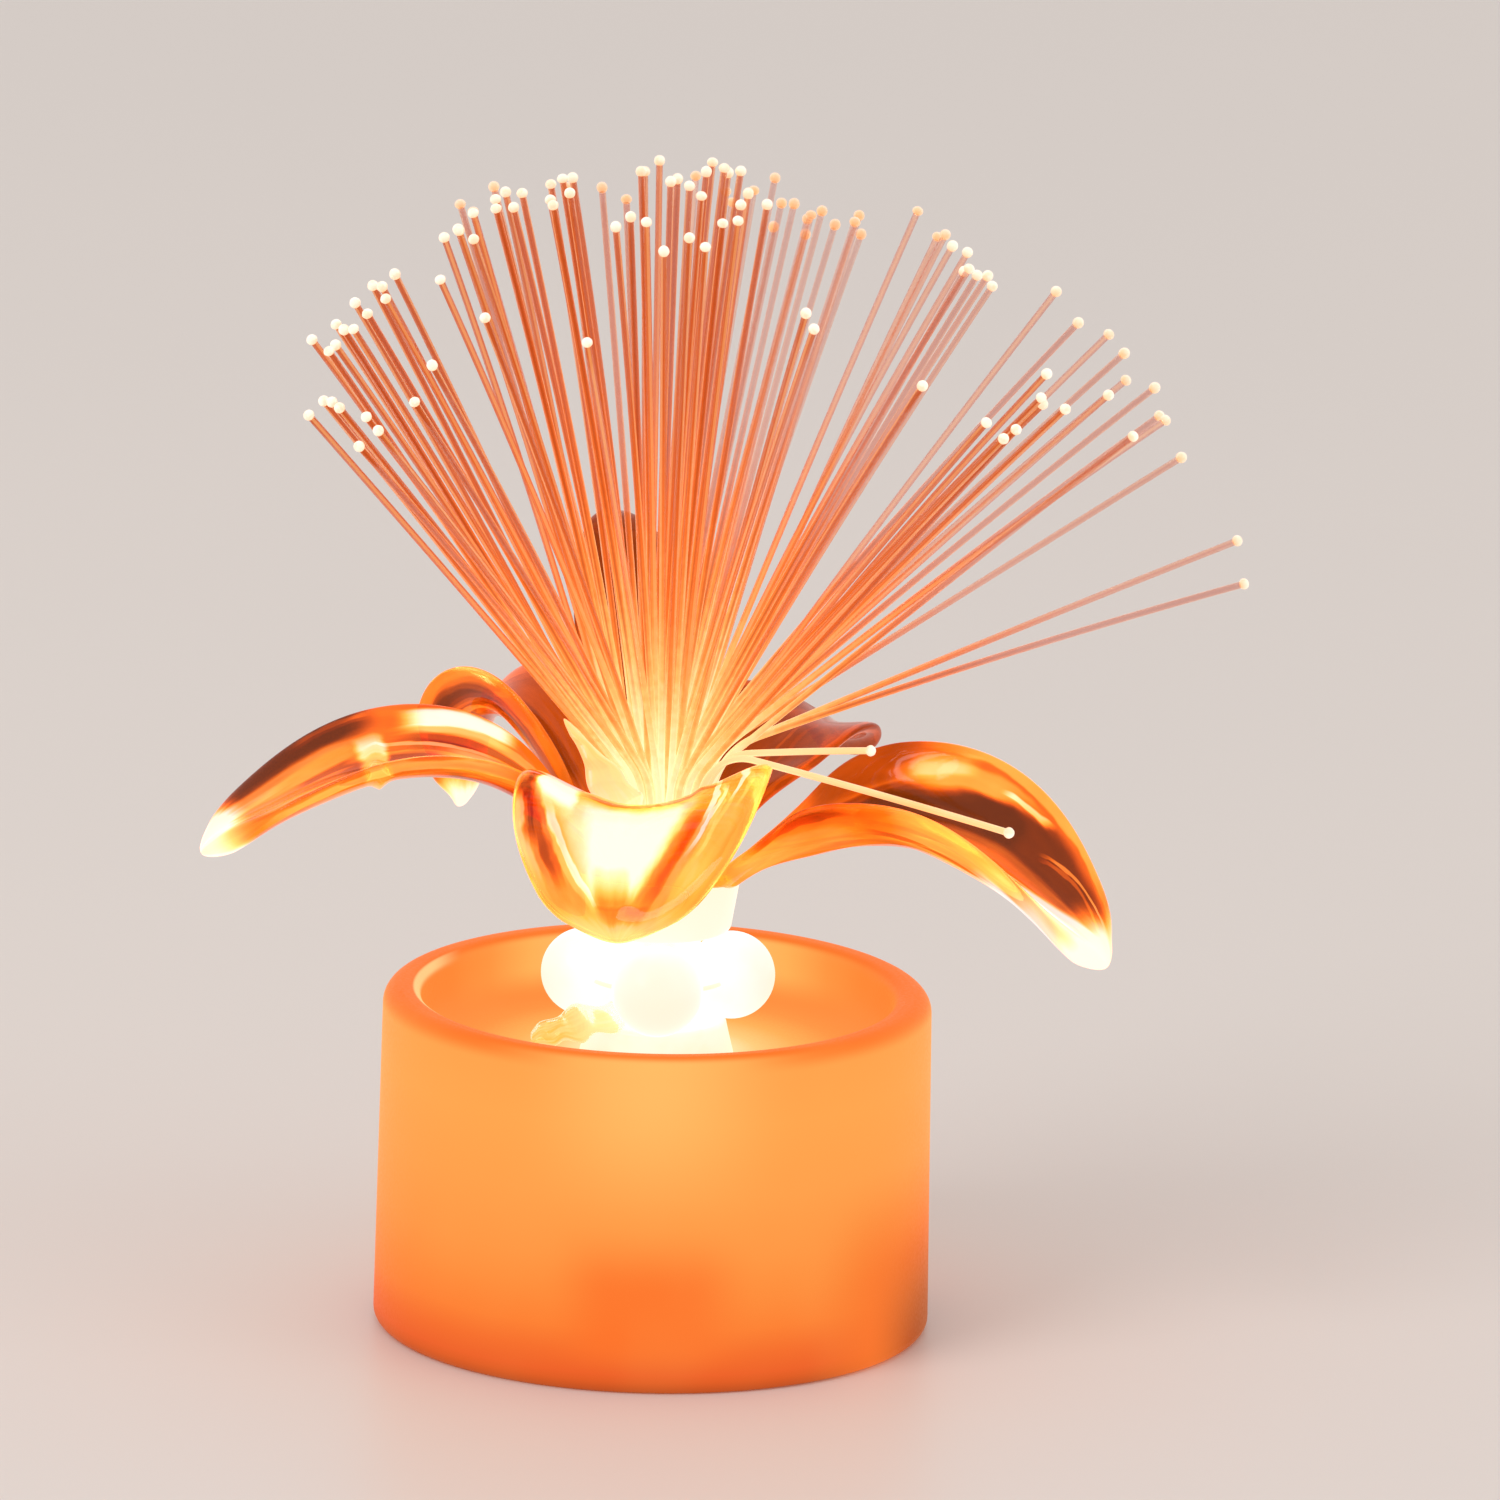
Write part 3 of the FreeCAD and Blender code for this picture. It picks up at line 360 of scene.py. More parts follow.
# streaks of light or shade in a petal: where each starts and ends along it, its side there, its half width there,
# its light (under 0 for shade) and, for a bent one, its bow to the side
PETAL_STREAKS = {
    "front": [
        (0.47, 0.97, -0.16, -0.16, 0.78, 0.28, 0.32), (0.50, 0.90, -0.06, -0.14, 0.54, 0.28, 0.30),
        (0.56, 0.96, 0.52, 0.24, 0.08, 0.20, -0.22), (0.905, 0.975, 0.00, 0.10, 0.50, 0.50, -0.18),
        (0.56, 0.94, -0.80, -0.34, 0.045, 0.05, 0.36, -0.06), (0.52, 0.88, -0.88, -0.74, 0.05, 0.09, -0.26),
        (0.20, 0.97, -0.98, -0.95, 0.06, 0.06, 0.18), (0.56, 0.94, 0.74, 0.60, 0.24, 0.22, 0.10),
        (0.76, 0.94, -0.22, -0.12, 0.20, 0.30, -0.26), (0.52, 0.76, -0.92, -0.90, 0.05, 0.05, -0.30),
        (0.50, 0.78, 0.66, 0.52, 0.02, 0.03, 0.30, 0.03), (0.38, 0.68, 0.60, 0.58, 0.035, 0.03, 0.42),
        (0.42, 0.62, 0.84, 0.74, 0.04, 0.03, 0.42), (0.20, 0.97, 0.98, 0.95, 0.05, 0.05, 0.04),
        (0.34, 0.60, -0.80, -0.70, 0.18, 0.14, 0.55), (0.40, 0.62, -1.00, -0.98, 0.16, 0.12, -0.50),
        (0.455, 0.505, 0.05, 0.05, 0.70, 0.70, -0.34), (0.10, 0.44, 0.30, 0.30, 0.05, 0.05, -0.28),
        (0.10, 0.46, 0.00, -0.10, 0.40, 0.40, 0.22),
    ],
    "right": [
        (0.18, 0.47, 0.90, 0.90, 0.34, 0.24, -0.12), (0.37, 0.73, 0.66, 0.84, 0.20, 0.05, 0.20, 0.03),
        (0.42, 0.55, 0.80, 0.88, 0.12, 0.08, 0.16), (0.59, 0.73, 0.79, 0.86, 0.025, 0.035, 0.40),
        (0.22, 0.48, 0.34, 0.56, 0.20, 0.18, -0.32), (0.40, 0.66, 0.52, 0.66, 0.12, 0.12, -0.24),
        (0.74, 1.20, -0.90, -0.60, 0.40, 0.60, 0.36), (0.34, 0.70, 0.28, 0.50, 0.22, 0.28, -0.26, 0.04),
        (0.58, 0.97, 0.62, 0.46, 0.30, 0.42, -0.24), (0.42, 0.98, 0.98, 0.94, 0.05, 0.07, 0.20),
        (0.72, 0.96, 0.52, 0.66, 0.03, 0.03, 0.42, 0.10), (0.40, 1.08, -0.96, -0.34, 0.42, 0.62, 0.24),
        (0.64, 1.16, -0.60, 0.00, 0.26, 0.66, 0.46), (0.84, 1.20, 0.00, 0.00, 0.70, 0.95, 0.34),
        (0.40, 0.72, -0.72, -0.50, 0.07, 0.06, -0.26), (0.46, 0.80, -0.28, -0.12, 0.03, 0.03, 0.36),
        (0.02, 0.46, -0.72, -0.50, 0.36, 0.30, 0.16), (0.10, 0.42, -0.98, -0.96, 0.07, 0.07, -0.26),
        (0.08, 0.44, -0.10, 0.00, 0.06, 0.05, -0.22), (0.30, 0.62, 0.02, 0.04, 0.04, 0.04, 0.22),
    ],
    "left": [
        (0.54, 0.97, -1.00, -0.98, 0.36, 0.44, -0.34), (0.56, 0.76, -0.93, -0.93, 0.04, 0.04, 0.18),
        (0.54, 1.06, -0.60, -0.10, 0.24, 0.40, 0.14), (0.74, 1.10, -0.40, 0.10, 0.08, 0.36, 0.10),
        (0.27, 0.53, -0.88, -0.78, 0.13, 0.17, 0.66), (0.18, 0.56, -0.66, -0.62, 0.10, 0.09, 0.20),
        (0.20, 0.56, -0.44, -0.52, 0.11, 0.12, -0.25), (0.28, 0.62, -0.32, -0.40, 0.045, 0.05, 0.28),
        (0.18, 0.46, -0.02, -0.22, 0.24, 0.14, 0.24), (0.43, 0.68, 0.10, 0.10, 0.32, 0.30, -0.24),
        (0.62, 0.77, -0.20, -0.05, 0.14, 0.10, -0.22), (0.545, 0.625, -0.05, -0.05, 0.66, 0.66, 0.42),
        (0.24, 0.95, 0.95, 0.88, 0.08, 0.10, 0.22), (0.50, 0.92, 0.60, 0.60, 0.10, 0.10, 0.10),
        (0.87, 1.20, 0.00, 0.00, 0.98, 0.98, 0.60), (0.22, 0.62, 0.42, 0.30, 0.34, 0.30, -0.34),
    ],
    "back_left": [
        (0.10, 0.98, -0.94, -0.90, 0.10, 0.12, 0.10), (0.10, 0.98, 0.94, 0.92, 0.12, 0.12, 0.20),
        (0.36, 0.80, 0.36, 0.50, 0.05, 0.06, 0.24), (0.30, 0.84, 0.64, 0.70, 0.12, 0.12, -0.14),
        (0.20, 0.80, -0.10, 0.00, 0.30, 0.24, -0.14), (0.84, 1.10, 0.00, 0.00, 0.90, 0.90, 0.30),
    ],
    "back_right": [
        (0.10, 0.98, -0.96, -0.92, 0.05, 0.05, 0.10), (0.10, 0.98, 0.96, 0.92, 0.05, 0.05, 0.10),
        (0.15, 0.85, -0.30, -0.10, 0.03, 0.03, 0.08), (0.20, 0.80, 0.35, 0.25, 0.03, 0.03, 0.06),
    ],
    "back": [
        (0.05, 0.95, -0.94, -0.90, 0.05, 0.05, 0.10), (0.05, 0.95, 0.94, 0.90, 0.05, 0.05, 0.10),
        (0.10, 0.80, 0.20, 0.30, 0.04, 0.04, 0.08),
    ],
}
# a petal whose far side differs: how much flatter its cup is there, and how much narrower its root
PETAL_UNEVEN = {"front": (0.42, 0.40)}
# runs of the clear plastic that stand proud: place, side, reach along, reach across, height
PETAL_LUMPS = {
    "left": [(0.585, 0.0, 0.014, 0.6, 0.7), (0.572, -0.4, 0.010, 0.3, 0.5), (0.597, 0.4, 0.010, 0.3, 0.6)],
    "right": [(0.42, -0.3, 0.10, 0.05, 0.35), (0.62, -0.45, 0.12, 0.05, 0.3)],
    "front": [(0.45, 0.45, 0.14, 0.06, 0.4), (0.5, -0.5, 0.14, 0.06, 0.4)],
    "back_left": [(0.5, 0.1, 0.10, 0.06, 0.35)],
    "back_right": [(0.5, -0.2, 0.10, 0.06, 0.3)],
    "back": [(0.5, 0.2, 0.14, 0.05, 0.25)],
}


def make_petal(name, shape, material):
    """A thick curved blade of clear plastic that stands on the collar and ends in a rounded tip."""
    bearing, swing, width, root_share, cup, roll, line = PETALS[name]
    thickness = shape.thickness / MM
    root_width = shape.root_width / MM * root_share
    out, side = polar(1, bearing), polar(1, bearing + swing / 2 + 90)
    per_reach = swing / (line[-1][0] - ROOT_REACH)
    knots = np.array([
        polar(reach, bearing + per_reach * (reach - ROOT_REACH), ROOT_HEIGHT + rise)
        for reach, rise in [(ROOT_REACH, 0.0)] + line
    ])
    chords = lengths(knots)
    fine = spline(chords, knots, np.linspace(0, chords[-1], LINE_STEPS))
    run = lengths(fine)
    run /= run[-1]
    form = np.array(PETAL_FORM)
    round_end = np.sin(np.linspace(0, ROUND_TURN, ROUND_ROWS))
    places = np.concatenate([np.linspace(0, ROUND_FROM, shape.rows)[:-1], ROUND_FROM + (1 - ROUND_FROM) * round_end])
    ending = np.clip((places - ROUND_FROM) / (1 - ROUND_FROM), 0, 1)
    swell = np.sqrt(1 - ending**2 * ROUND_CLOSING)
    shares = spline(form[:, 0], form[:, 1:], places)
    middle = np.stack([np.interp(places, run, fine[:, k]) for k in range(3)], 1)
    tangents = unit(np.gradient(fine, axis=0))
    along = unit(np.stack([np.interp(places, run, tangents[:, k]) for k in range(3)], 1))
    raised = unit(np.cross(along, side))
    raised[0] = -out
    turn = np.radians(roll) * np.minimum(1.0, places / ROLLED_FROM)[:, None]
    across = side * np.cos(turn) + raised * np.sin(turn)
    raised = raised * np.cos(turn) - side * np.sin(turn)
    half_width = np.maximum((root_width + (width - root_width) * shares[:, 0]) / 2, thickness * 0.6) * swell
    half_thick = thickness * shares[:, 1] / 2 * swell
    depth = (ROOT_CUP * root_share + (cup - ROOT_CUP * root_share) * shares[:, 2]) * swell
    middle = middle + along * (ending**2 * thickness * END_STRETCH)[:, None]
    angle = np.linspace(0, 2 * math.pi, shape.sides, endpoint=False)
    sides = np.cos(angle)[None, :]
    flatter, narrower = PETAL_UNEVEN.get(name, (0.0, 0.0))
    far_side = np.maximum(sides, 0)
    depth = depth[:, None] * (1 - flatter * far_side)
    half_width = half_width[:, None] * (1 - narrower * far_side * np.clip(1 - places / 0.5, 0, 1)[:, None])
    slope = 2 * depth * sides / half_width
    off = unit(raised[:, None, :] - across[:, None, :] * slope[:, :, None])
    thick = half_thick[:, None] * np.sin(angle)[None, :] * (1 + RIM_SHARE * sides**2)
    points = (
        middle[:, None, :]
        + across[:, None, :] * (half_width * sides)[:, :, None]
        + raised[:, None, :] * (depth * sides**2)[:, :, None]
    )
    place = places[:, None] + 0 * sides
    seed = sum(map(ord, name))
    waves = sum(
        math.sin(seed * k) * np.sin(place * 21 / k + sides * 2.3 * k + seed + k)
        + np.sin(place * 9 * k - sides * 4 + k)
        for k in (1, 2, 3)
    )
    lift = shape.ripple / MM * waves / 5 * np.sin(place * math.pi) ** 0.5
    for at, across_at, reach, spread, height in PETAL_LUMPS[name]:
        lift = lift + height * np.exp(-(((place - at) / reach) ** 2) - ((sides - across_at) / spread) ** 2)
    proud = np.sign(np.sin(angle))[None, :] * np.abs(np.sin(angle))[None, :] ** 0.5
    points = points + off * (thick + lift * proud * np.minimum(1, half_thick[:, None]))[:, :, None]
    marks = {"along": place.ravel(), "side": (sides + 0 * place).ravel()}
    faces = tube_faces(len(places), shape.sides)
    piece = new_piece("petal_" + name + "_clear", points.reshape(-1, 3), faces, material, marks)
    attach(piece, "lamp")
    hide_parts("petal_" + name)


def clear_petal(name, look):
    """Clear amber plastic that carries light in streaks from its root to its tip."""
    paint = Paint("clear_petal_" + name)
    along, side = paint.marked("along"), paint.marked("side")
    body, root, tip = PETAL_LIGHT[name]
    flow = paint.node("ShaderNodeCombineXYZ", inputs={0: side * 3.0, 1: along * 4.0, 2: body * 9.0})
    waves = paint.noise(1.7, 3.0, flow)
    side = side + (waves - 0.5) * 0.16
    along = along + (waves - 0.5) * 0.03
    light = body + paint.between(along, 0.28, 0.0) * (root - body) + paint.between(along, 0.90, 0.99) * (tip - body)
    for start, end, side_from, side_to, width_from, width_to, strength, *bows in PETAL_STREAKS[name]:
        t = (along - start) / (end - start)
        centre = side_from + t * (side_to - side_from)
        for bow in bows:
            centre = centre + t * (1.0 - t) * (4 * bow)
        away = (side - centre) / (width_from + t * (width_to - width_from))
        ends = paint.between(t, 0.0, 0.22) * paint.between(t, 1.0, 0.72)
        light = light + paint.between(away * away, 1.0, 0.3) * ends * strength
    fine = paint.noise(2.6, 4.0, flow)
    light = light + (fine - 0.5) * (0.22 * (0.3 + body))
    shine = paint.ramp(
        light,
        [(0.0, (0.0, 0.0, 0.0)), (0.10, tone(84, 26, 0)), (0.24, tone(168, 60, 2)), (0.40, tone(230, 104, 18)),
         (0.56, tone(250, 160, 78)), (0.74, tone(255, 210, 164)), (0.90, tone(255, 242, 228)),
         (1.0, tone(255, 252, 250))],
    )
    unlit = body < 0.2
    tint = paint.mix(paint.between(light, 0.1, 0.6), tuple(look.umber), tuple(look.amber))
    grain = paint.noise(240, 3.0)
    height = paint.noise(70, 2.0) + 0.25 * grain
    return paint.surface(
        Base_Color=tint, Roughness=paint.between(grain, 0.3, 0.8, 0.02, 0.07),
        IOR=1.1 if unlit else 1.15, Transmission_Weight=1.0, Coat_Weight=0.1 if unlit else 0.4, Coat_Roughness=0.04,
        Specular_Tint=tone(255, 170, 96), Emission_Color=shine, Emission_Strength=0.8,
        Normal=paint.bump(height, 0.25, 0.0004),
    )


# ---- torn slivers of clear plastic ----
SLIVER_ROWS = 64
SLIVER_SIDES = 20
# middle line, half widths and half thickness along it, twist of its face from level, depth of the tears in its edges
SLIVERS = {
    "small_leaf_torn": (
        [(-2.3, -2.2, 35.7), (-5.3, -5.2, 35.6), (-8.6, -6.9, 35.2), (-11.4, -7.7, 34.4), (-13.7, -8.2, 33.5)],
        (1.4, 1.9, 2.2, 1.7, 1.0), 0.45, 38.0, 0.20,
    ),
    "petal_sliver": (
        [(-3.6, -4.6, 57.5), (-4.7, -6.6, 60.2), (-6.4, -7.8, 63.6), (-8.6, -8.6, 67.0), (-10.8, -9.0, 70.0)],
        (2.1, 2.6, 2.2, 1.0, 0.25), 0.40, -38.0, 0.10,
    ),
}


def make_sliver(name, material):
    """Thin clear blade with torn edges."""
    line, half_widths, half_thick, twist, torn = SLIVERS[name]
    places = np.linspace(0, 1, SLIVER_ROWS)
    knots = np.linspace(0, 1, len(line))
    middle = spline(knots, line, places)
    along = unit(np.gradient(middle, axis=0))
    level = unit(np.cross(along, UP))
    raised = np.cross(level, along)
    turn = math.radians(twist)
    across = level * math.cos(turn) + raised * math.sin(turn)
    normal = raised * math.cos(turn) - level * math.sin(turn)
    half_width = spline(knots, half_widths, places)[:, 0]
    angle = np.linspace(0, 2 * math.pi, SLIVER_SIDES, endpoint=False)
    out = np.sign(np.cos(angle)) * np.abs(np.cos(angle)) ** 0.8
    tears = np.sin(places * 17)[:, None] * (out > 0) + np.sin(places * 23 + 2)[:, None] * (out <= 0)
    closing = np.sqrt(np.clip(np.minimum(places / 0.06, (1 - places) / 0.05), 0.02, 1))[:, None]
    edge = half_width[:, None] * (1 + torn * tears) * out * closing
    thick = half_thick * np.sin(angle)[None, :] * closing * (1 + 0.25 * np.sin(places * 31)[:, None])
    points = middle[:, None, :] + across[:, None, :] * edge[:, :, None] + normal[:, None, :] * thick[:, :, None]
    marks = {"along": np.repeat(places, SLIVER_SIDES), "side": np.tile(np.cos(angle), SLIVER_ROWS)}
    piece = new_piece(name, points.reshape(-1, 3), tube_faces(SLIVER_ROWS, SLIVER_SIDES), material, marks)
    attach(piece, "lamp")
    return piece


def clear_sliver(name, root, tip):
    """Clear plastic, bright at its root and along its broken edges."""
    paint = Paint("clear_" + name)
    along, side = paint.marked("along"), paint.marked("side")
    flow = paint.node("ShaderNodeCombineXYZ", inputs={0: side * 3.0, 1: along * 2.0, 2: 0.4})
    streak = paint.noise(2.0, 3.0, flow)
    light = paint.between(streak, 0.35, 0.65)
    color = paint.mix(paint.between(along, 0.15, 0.75), root, tip)
    color = paint.mix(light * 0.6, color, tone(255, 226, 166))
    color = paint.mix(paint.between(side * side, 0.7, 0.95, 0.0, 0.6), color, tone(255, 236, 196))
    return paint.surface(
        Base_Color=tone(240, 150, 64), Roughness=paint.rough(streak, 0.04, 0.14), IOR=1.45,
        Transmission_Weight=0.4, Specular_Tint=tone(255, 196, 128), Emission_Color=color, Emission_Strength=0.65,
        Normal=paint.bump(paint.noise(500, 2.0), 0.3, 0.0003),
    )


# ---- spray of fibres ----
# a strand stands upright from its foot to the start of its bend; the radius is that of the middle strand
FIBRE_FOOT = 49.85
BEND_HEIGHT = 59.2
BEND_RADIUS = 13.0
STEEPEST_BEND = 88
# the bend's turn is found by halving its range this many times
HALVINGS = 50
# height of the spray's middle under the start of the bends
SPRAY_RISE = 3.6
# how much the tips' distances differ, and how the strands of a tuft are turned by its place
SCATTER = 1.1
TUFT_TURN = 66.5
# usual bow of a strand and the bow of a stray, in degrees
BOW = 3.0
STRAY_BOW = 2.0
# rings of seats in the bundle
RINGS = 6
# a melted tip: its rings, the angle its ends stay open, and the mark at its first ring
TIP_RINGS = 9
TIP_OPENING = 0.12
TIP_MARK = 0.55
# spreads the painted highlight and painted shade lines round the strands
SHINE_LINE_SPREAD = 20
# group: tufts as (tips right of the neck, tips back of the neck, strands, radius of the tuft);
# places and radii are shares of the spray's radius
TUFTS = {
    "front_left": [(-0.556, -0.451, 4, 0.042), (-0.481, -0.526, 3, 0.039),
                   (-0.406, -0.511, 2, 0.030), (-0.541, -0.346, 3, 0.030)],
    "left": [(-0.556, -0.256, 3, 0.038), (-0.481, -0.241, 6, 0.042),
             (-0.376, -0.316, 1, 0.000), (-0.301, -0.421, 1, 0.000)],
    "upper_left": [(-0.346, -0.150, 5, 0.033), (-0.271, -0.075, 5, 0.039),
                   (-0.195, -0.045, 4, 0.033), (-0.180, -0.135, 2, 0.021)],
    "front": [(-0.135, -0.511, 1, 0.000), (-0.075, -0.211, 3, 0.033),
              (0.015, -0.301, 3, 0.045), (0.090, -0.241, 2, 0.027)],
    "centre": [(-0.045, 0.015, 3, 0.030), (0.015, -0.075, 4, 0.039),
               (0.075, -0.015, 5, 0.039), (0.120, -0.105, 3, 0.033)],
    "back_left": [(-0.331, 0.361, 3, 0.060), (-0.120, 0.496, 3, 0.068)],
    "back_right": [(0.075, 0.526, 4, 0.060), (0.180, 0.496, 4, 0.048),
                   (0.195, 0.617, 3, 0.051), (0.286, 0.526, 5, 0.051)],
    "front_right": [(0.226, -0.466, 2, 0.026), (0.406, -0.511, 1, 0.000),
                    (0.541, -0.466, 3, 0.033), (0.617, -0.346, 4, 0.042)],
    "upper_right": [(0.489, -0.090, 7, 0.039), (0.421, 0.331, 3, 0.060)],
    "right": [(0.632, 0.075, 2, 0.039), (0.722, -0.180, 2, 0.036), (0.737, 0.180, 3, 0.027),
              (0.812, 0.105, 4, 0.042), (0.937, 0.045, 2, 0.018)],
}
# how much each group's strands fade on their way out
FAINTNESS = {
    "front_left": 0.18, "left": 0.22, "upper_left": 0.28, "front": 0.25, "centre": 0.38, "back_left": 0.55,
    "back_right": 0.74, "front_right": 0.25, "upper_right": 0.66, "right": 0.66, "stray": 0.0,
}
# bearing, turn of the bend, bend radius, free length
STRAYS = [(-27, 80, 6.6, 24.0), (-31, 94.5, 6.2, 42.8)]
# added to the hue of a stray, which glows all the way along
STRAY_HUE = 2.0


def bundle_seats(pitch):
    """Places in the bundle: one in the middle and rings of 6, 12, 18 and so on round it."""
    seats = [np.zeros(3)]
    for number in range(1, RINGS + 1):
        for step in range(6 * number):
            seats.append(polar(number * pitch, 360.0 * step / (6 * number) + 13 * number))
    return seats


def spray_aims(reach):
    """Group, tip and bow of each strand."""
    scatter = random.Random(7)
    golden = math.pi * (3 - math.sqrt(5))
    aims = []
    for group, members in TUFTS.items():
        for right, back, strands, radius in members:
            for number in range(strands):
                away = radius * math.sqrt((number + 0.5) / strands)
                angle = number * golden + right * TUFT_TURN
                x = reach * (right + away * math.cos(angle))
                y = reach * (back + away * math.sin(angle))
                far = reach + scatter.uniform(-1, 1) * SCATTER
                bow = math.radians(BOW) * scatter.uniform(0.2, 1.6)
                aims.append((group, np.array([x, y, math.sqrt(far * far - x * x - y * y)]), bow))
    for bearing, _, _, _ in STRAYS:
        aims.append(("stray", polar(0.99 * reach, bearing), 0.0))
    return aims


def seat_strands(aims, pitch):
    """Each strand's seat, with two seats swapped wherever their strands would cross."""
    level = [tip[:2] for _, tip, _ in aims]
    order = sorted(range(len(aims)), key=lambda i: np.linalg.norm(level[i]))
    seats = bundle_seats(pitch)
    given = {index: seats[rank] for rank, index in enumerate(order)}
    swapped = True
    while swapped:
        swapped = False
        for first in range(len(aims)):
            for second in range(first):
                if (given[first] - given[second])[:2] @ (level[first] - level[second]) < -1e-6:
                    given[first], given[second] = given[second], given[first]
                    swapped = True
    return [given[index] for index in range(len(aims))]


def bend_to(out, rise, radius, bow):
    """Turn of the bend, and length after it, that bring a tip this far out and up."""
    low, high = 0.0, math.radians(STEEPEST_BEND)
    for _ in range(HALVINGS):
        turn = (low + high) / 2
        chord = (out - radius * (1 - math.cos(turn))) / math.sin(turn + bow / 2)
        if radius * math.sin(turn) + chord * math.cos(turn + bow / 2) > rise:
            low = turn
        else:
            high = turn
    return turn, chord * (bow / 2) / math.sin(bow / 2)


def strand_points(seat, direction, turn, radius, rest, bow):
    """Middle line of a fibre, and how far each point is along its free length."""
    start = seat + UP * BEND_HEIGHT
    straight = [seat + UP * z for z in np.linspace(FIBRE_FOOT, BEND_HEIGHT, 4)[:-1]]
    centre = start + direction * radius
    bend = [
        centre - direction * radius * math.cos(a) + UP * radius * math.sin(a)
        for a in np.linspace(0, turn, max(4, int(math.degrees(turn) / 4)))
    ]
    heading = direction * math.sin(turn) + UP * math.cos(turn)
    inward = direction * math.cos(turn) - UP * math.sin(turn)
    bow_radius = rest / bow
    bow_centre = bend[-1] + inward * bow_radius
    arc = [
        bow_centre - inward * bow_radius * math.cos(a) + heading * bow_radius * math.sin(a)
        for a in np.linspace(0, bow, 16)[1:]
    ]
    line = np.array(straight + bend + arc)
    run = lengths(line) - (BEND_HEIGHT - FIBRE_FOOT)
    return line, np.clip(run / run[-1], 0, 1)


def add_strand(pile, line, run, radius, tip_radius, sides, hue, swell):
    """Adds a round strand and its melted tip to a pile of points, faces and marks."""
    points, faces, runs, beads, hues, lines = pile
    tangents = unit(np.gradient(line, axis=0))
    # a strand bends in one upright plane, so one level direction lies across it all along, its upright foot too
    level = line[-1] - line[0]
    across = unit(np.array([level[1], -level[0], 0.0])) + 0 * tangents
    up = np.cross(across, tangents)
    angle = np.linspace(0, 2 * math.pi, sides, endpoint=False)

    def ring(centre, a, b, size):
        return centre + size * (np.cos(angle)[:, None] * a + np.sin(angle)[:, None] * b)

    def close(rings, run_values, bead_values):
        first = len(points)
        for ring_points, run_value, bead_value in zip(rings, run_values, bead_values):
            points.extend(ring_points)
            runs.extend([run_value] * sides)
            beads.extend([bead_value] * sides)
            hues.extend([hue] * sides)
            # each point's place between the painted highlight line and the painted shade line
            lines.extend(np.cos(2 * angle + hue * SHINE_LINE_SPREAD))
        faces.extend(tube_faces(len(rings), sides, first))

    close([ring(*row, radius) for row in zip(line, across, up)], run, [0.0] * len(run))
    tip, heading = line[-1], tangents[-1]
    turns = np.linspace(TIP_OPENING, math.pi - TIP_OPENING, TIP_RINGS)
    rings = [
        ring(tip - heading * tip_radius * math.cos(t) * swell, across[-1], up[-1], tip_radius * math.sin(t))
        for t in turns
    ]
    close(rings, [1.0] * TIP_RINGS, np.linspace(TIP_MARK, 1.0, TIP_RINGS))


def make_spray(shape, material):
    """Every tuft of strands, each as one piece over its own node."""
    fibre, pitch, reach, tip_radius = (v / MM for v in (shape.fibre, shape.pitch, shape.reach, shape.tip))
    aims = spray_aims(reach)
    piles = {}
    strays = iter(STRAYS)
    chance = random.Random(11)
    for (group, tip, bow), seat in zip(aims, seat_strands(aims, pitch)):
        if group == "stray":
            bearing, turn_deg, radius, free = next(strays)
            direction, turn, bow = polar(1, bearing), math.radians(turn_deg), math.radians(STRAY_BOW)
            rest = free - radius * turn
        else:
            level = np.array([tip[0], tip[1], 0.0]) - seat
            distance = np.linalg.norm(level)
            direction = level / distance
            radius = BEND_RADIUS - seat @ direction
            rise = tip[2] + SPRAY_RISE
            bow = min(bow, math.atan(distance / rise))
            turn, rest = bend_to(distance, rise, radius, bow)
        line, run = strand_points(seat, direction, turn, radius, rest, bow)
        pile = piles.setdefault(group, ([], [], [], [], [], []))
        hue, swell = chance.random(), chance.uniform(0.8, 1.05)
        if group == "stray":
            hue += STRAY_HUE
        add_strand(pile, line, run, fibre / 2, tip_radius, shape.sides, hue, swell)
    for group, (points, faces, runs, beads, hues, lines) in piles.items():
        marks = {"run": runs, "bead": beads, "hue": hues, "line": lines, "faint": [FAINTNESS[group]] * len(points)}
        piece = new_piece("fibres_" + group + "_lit", points, faces, material, marks)
        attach(piece, "lamp")
        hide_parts("fibres_" + group)


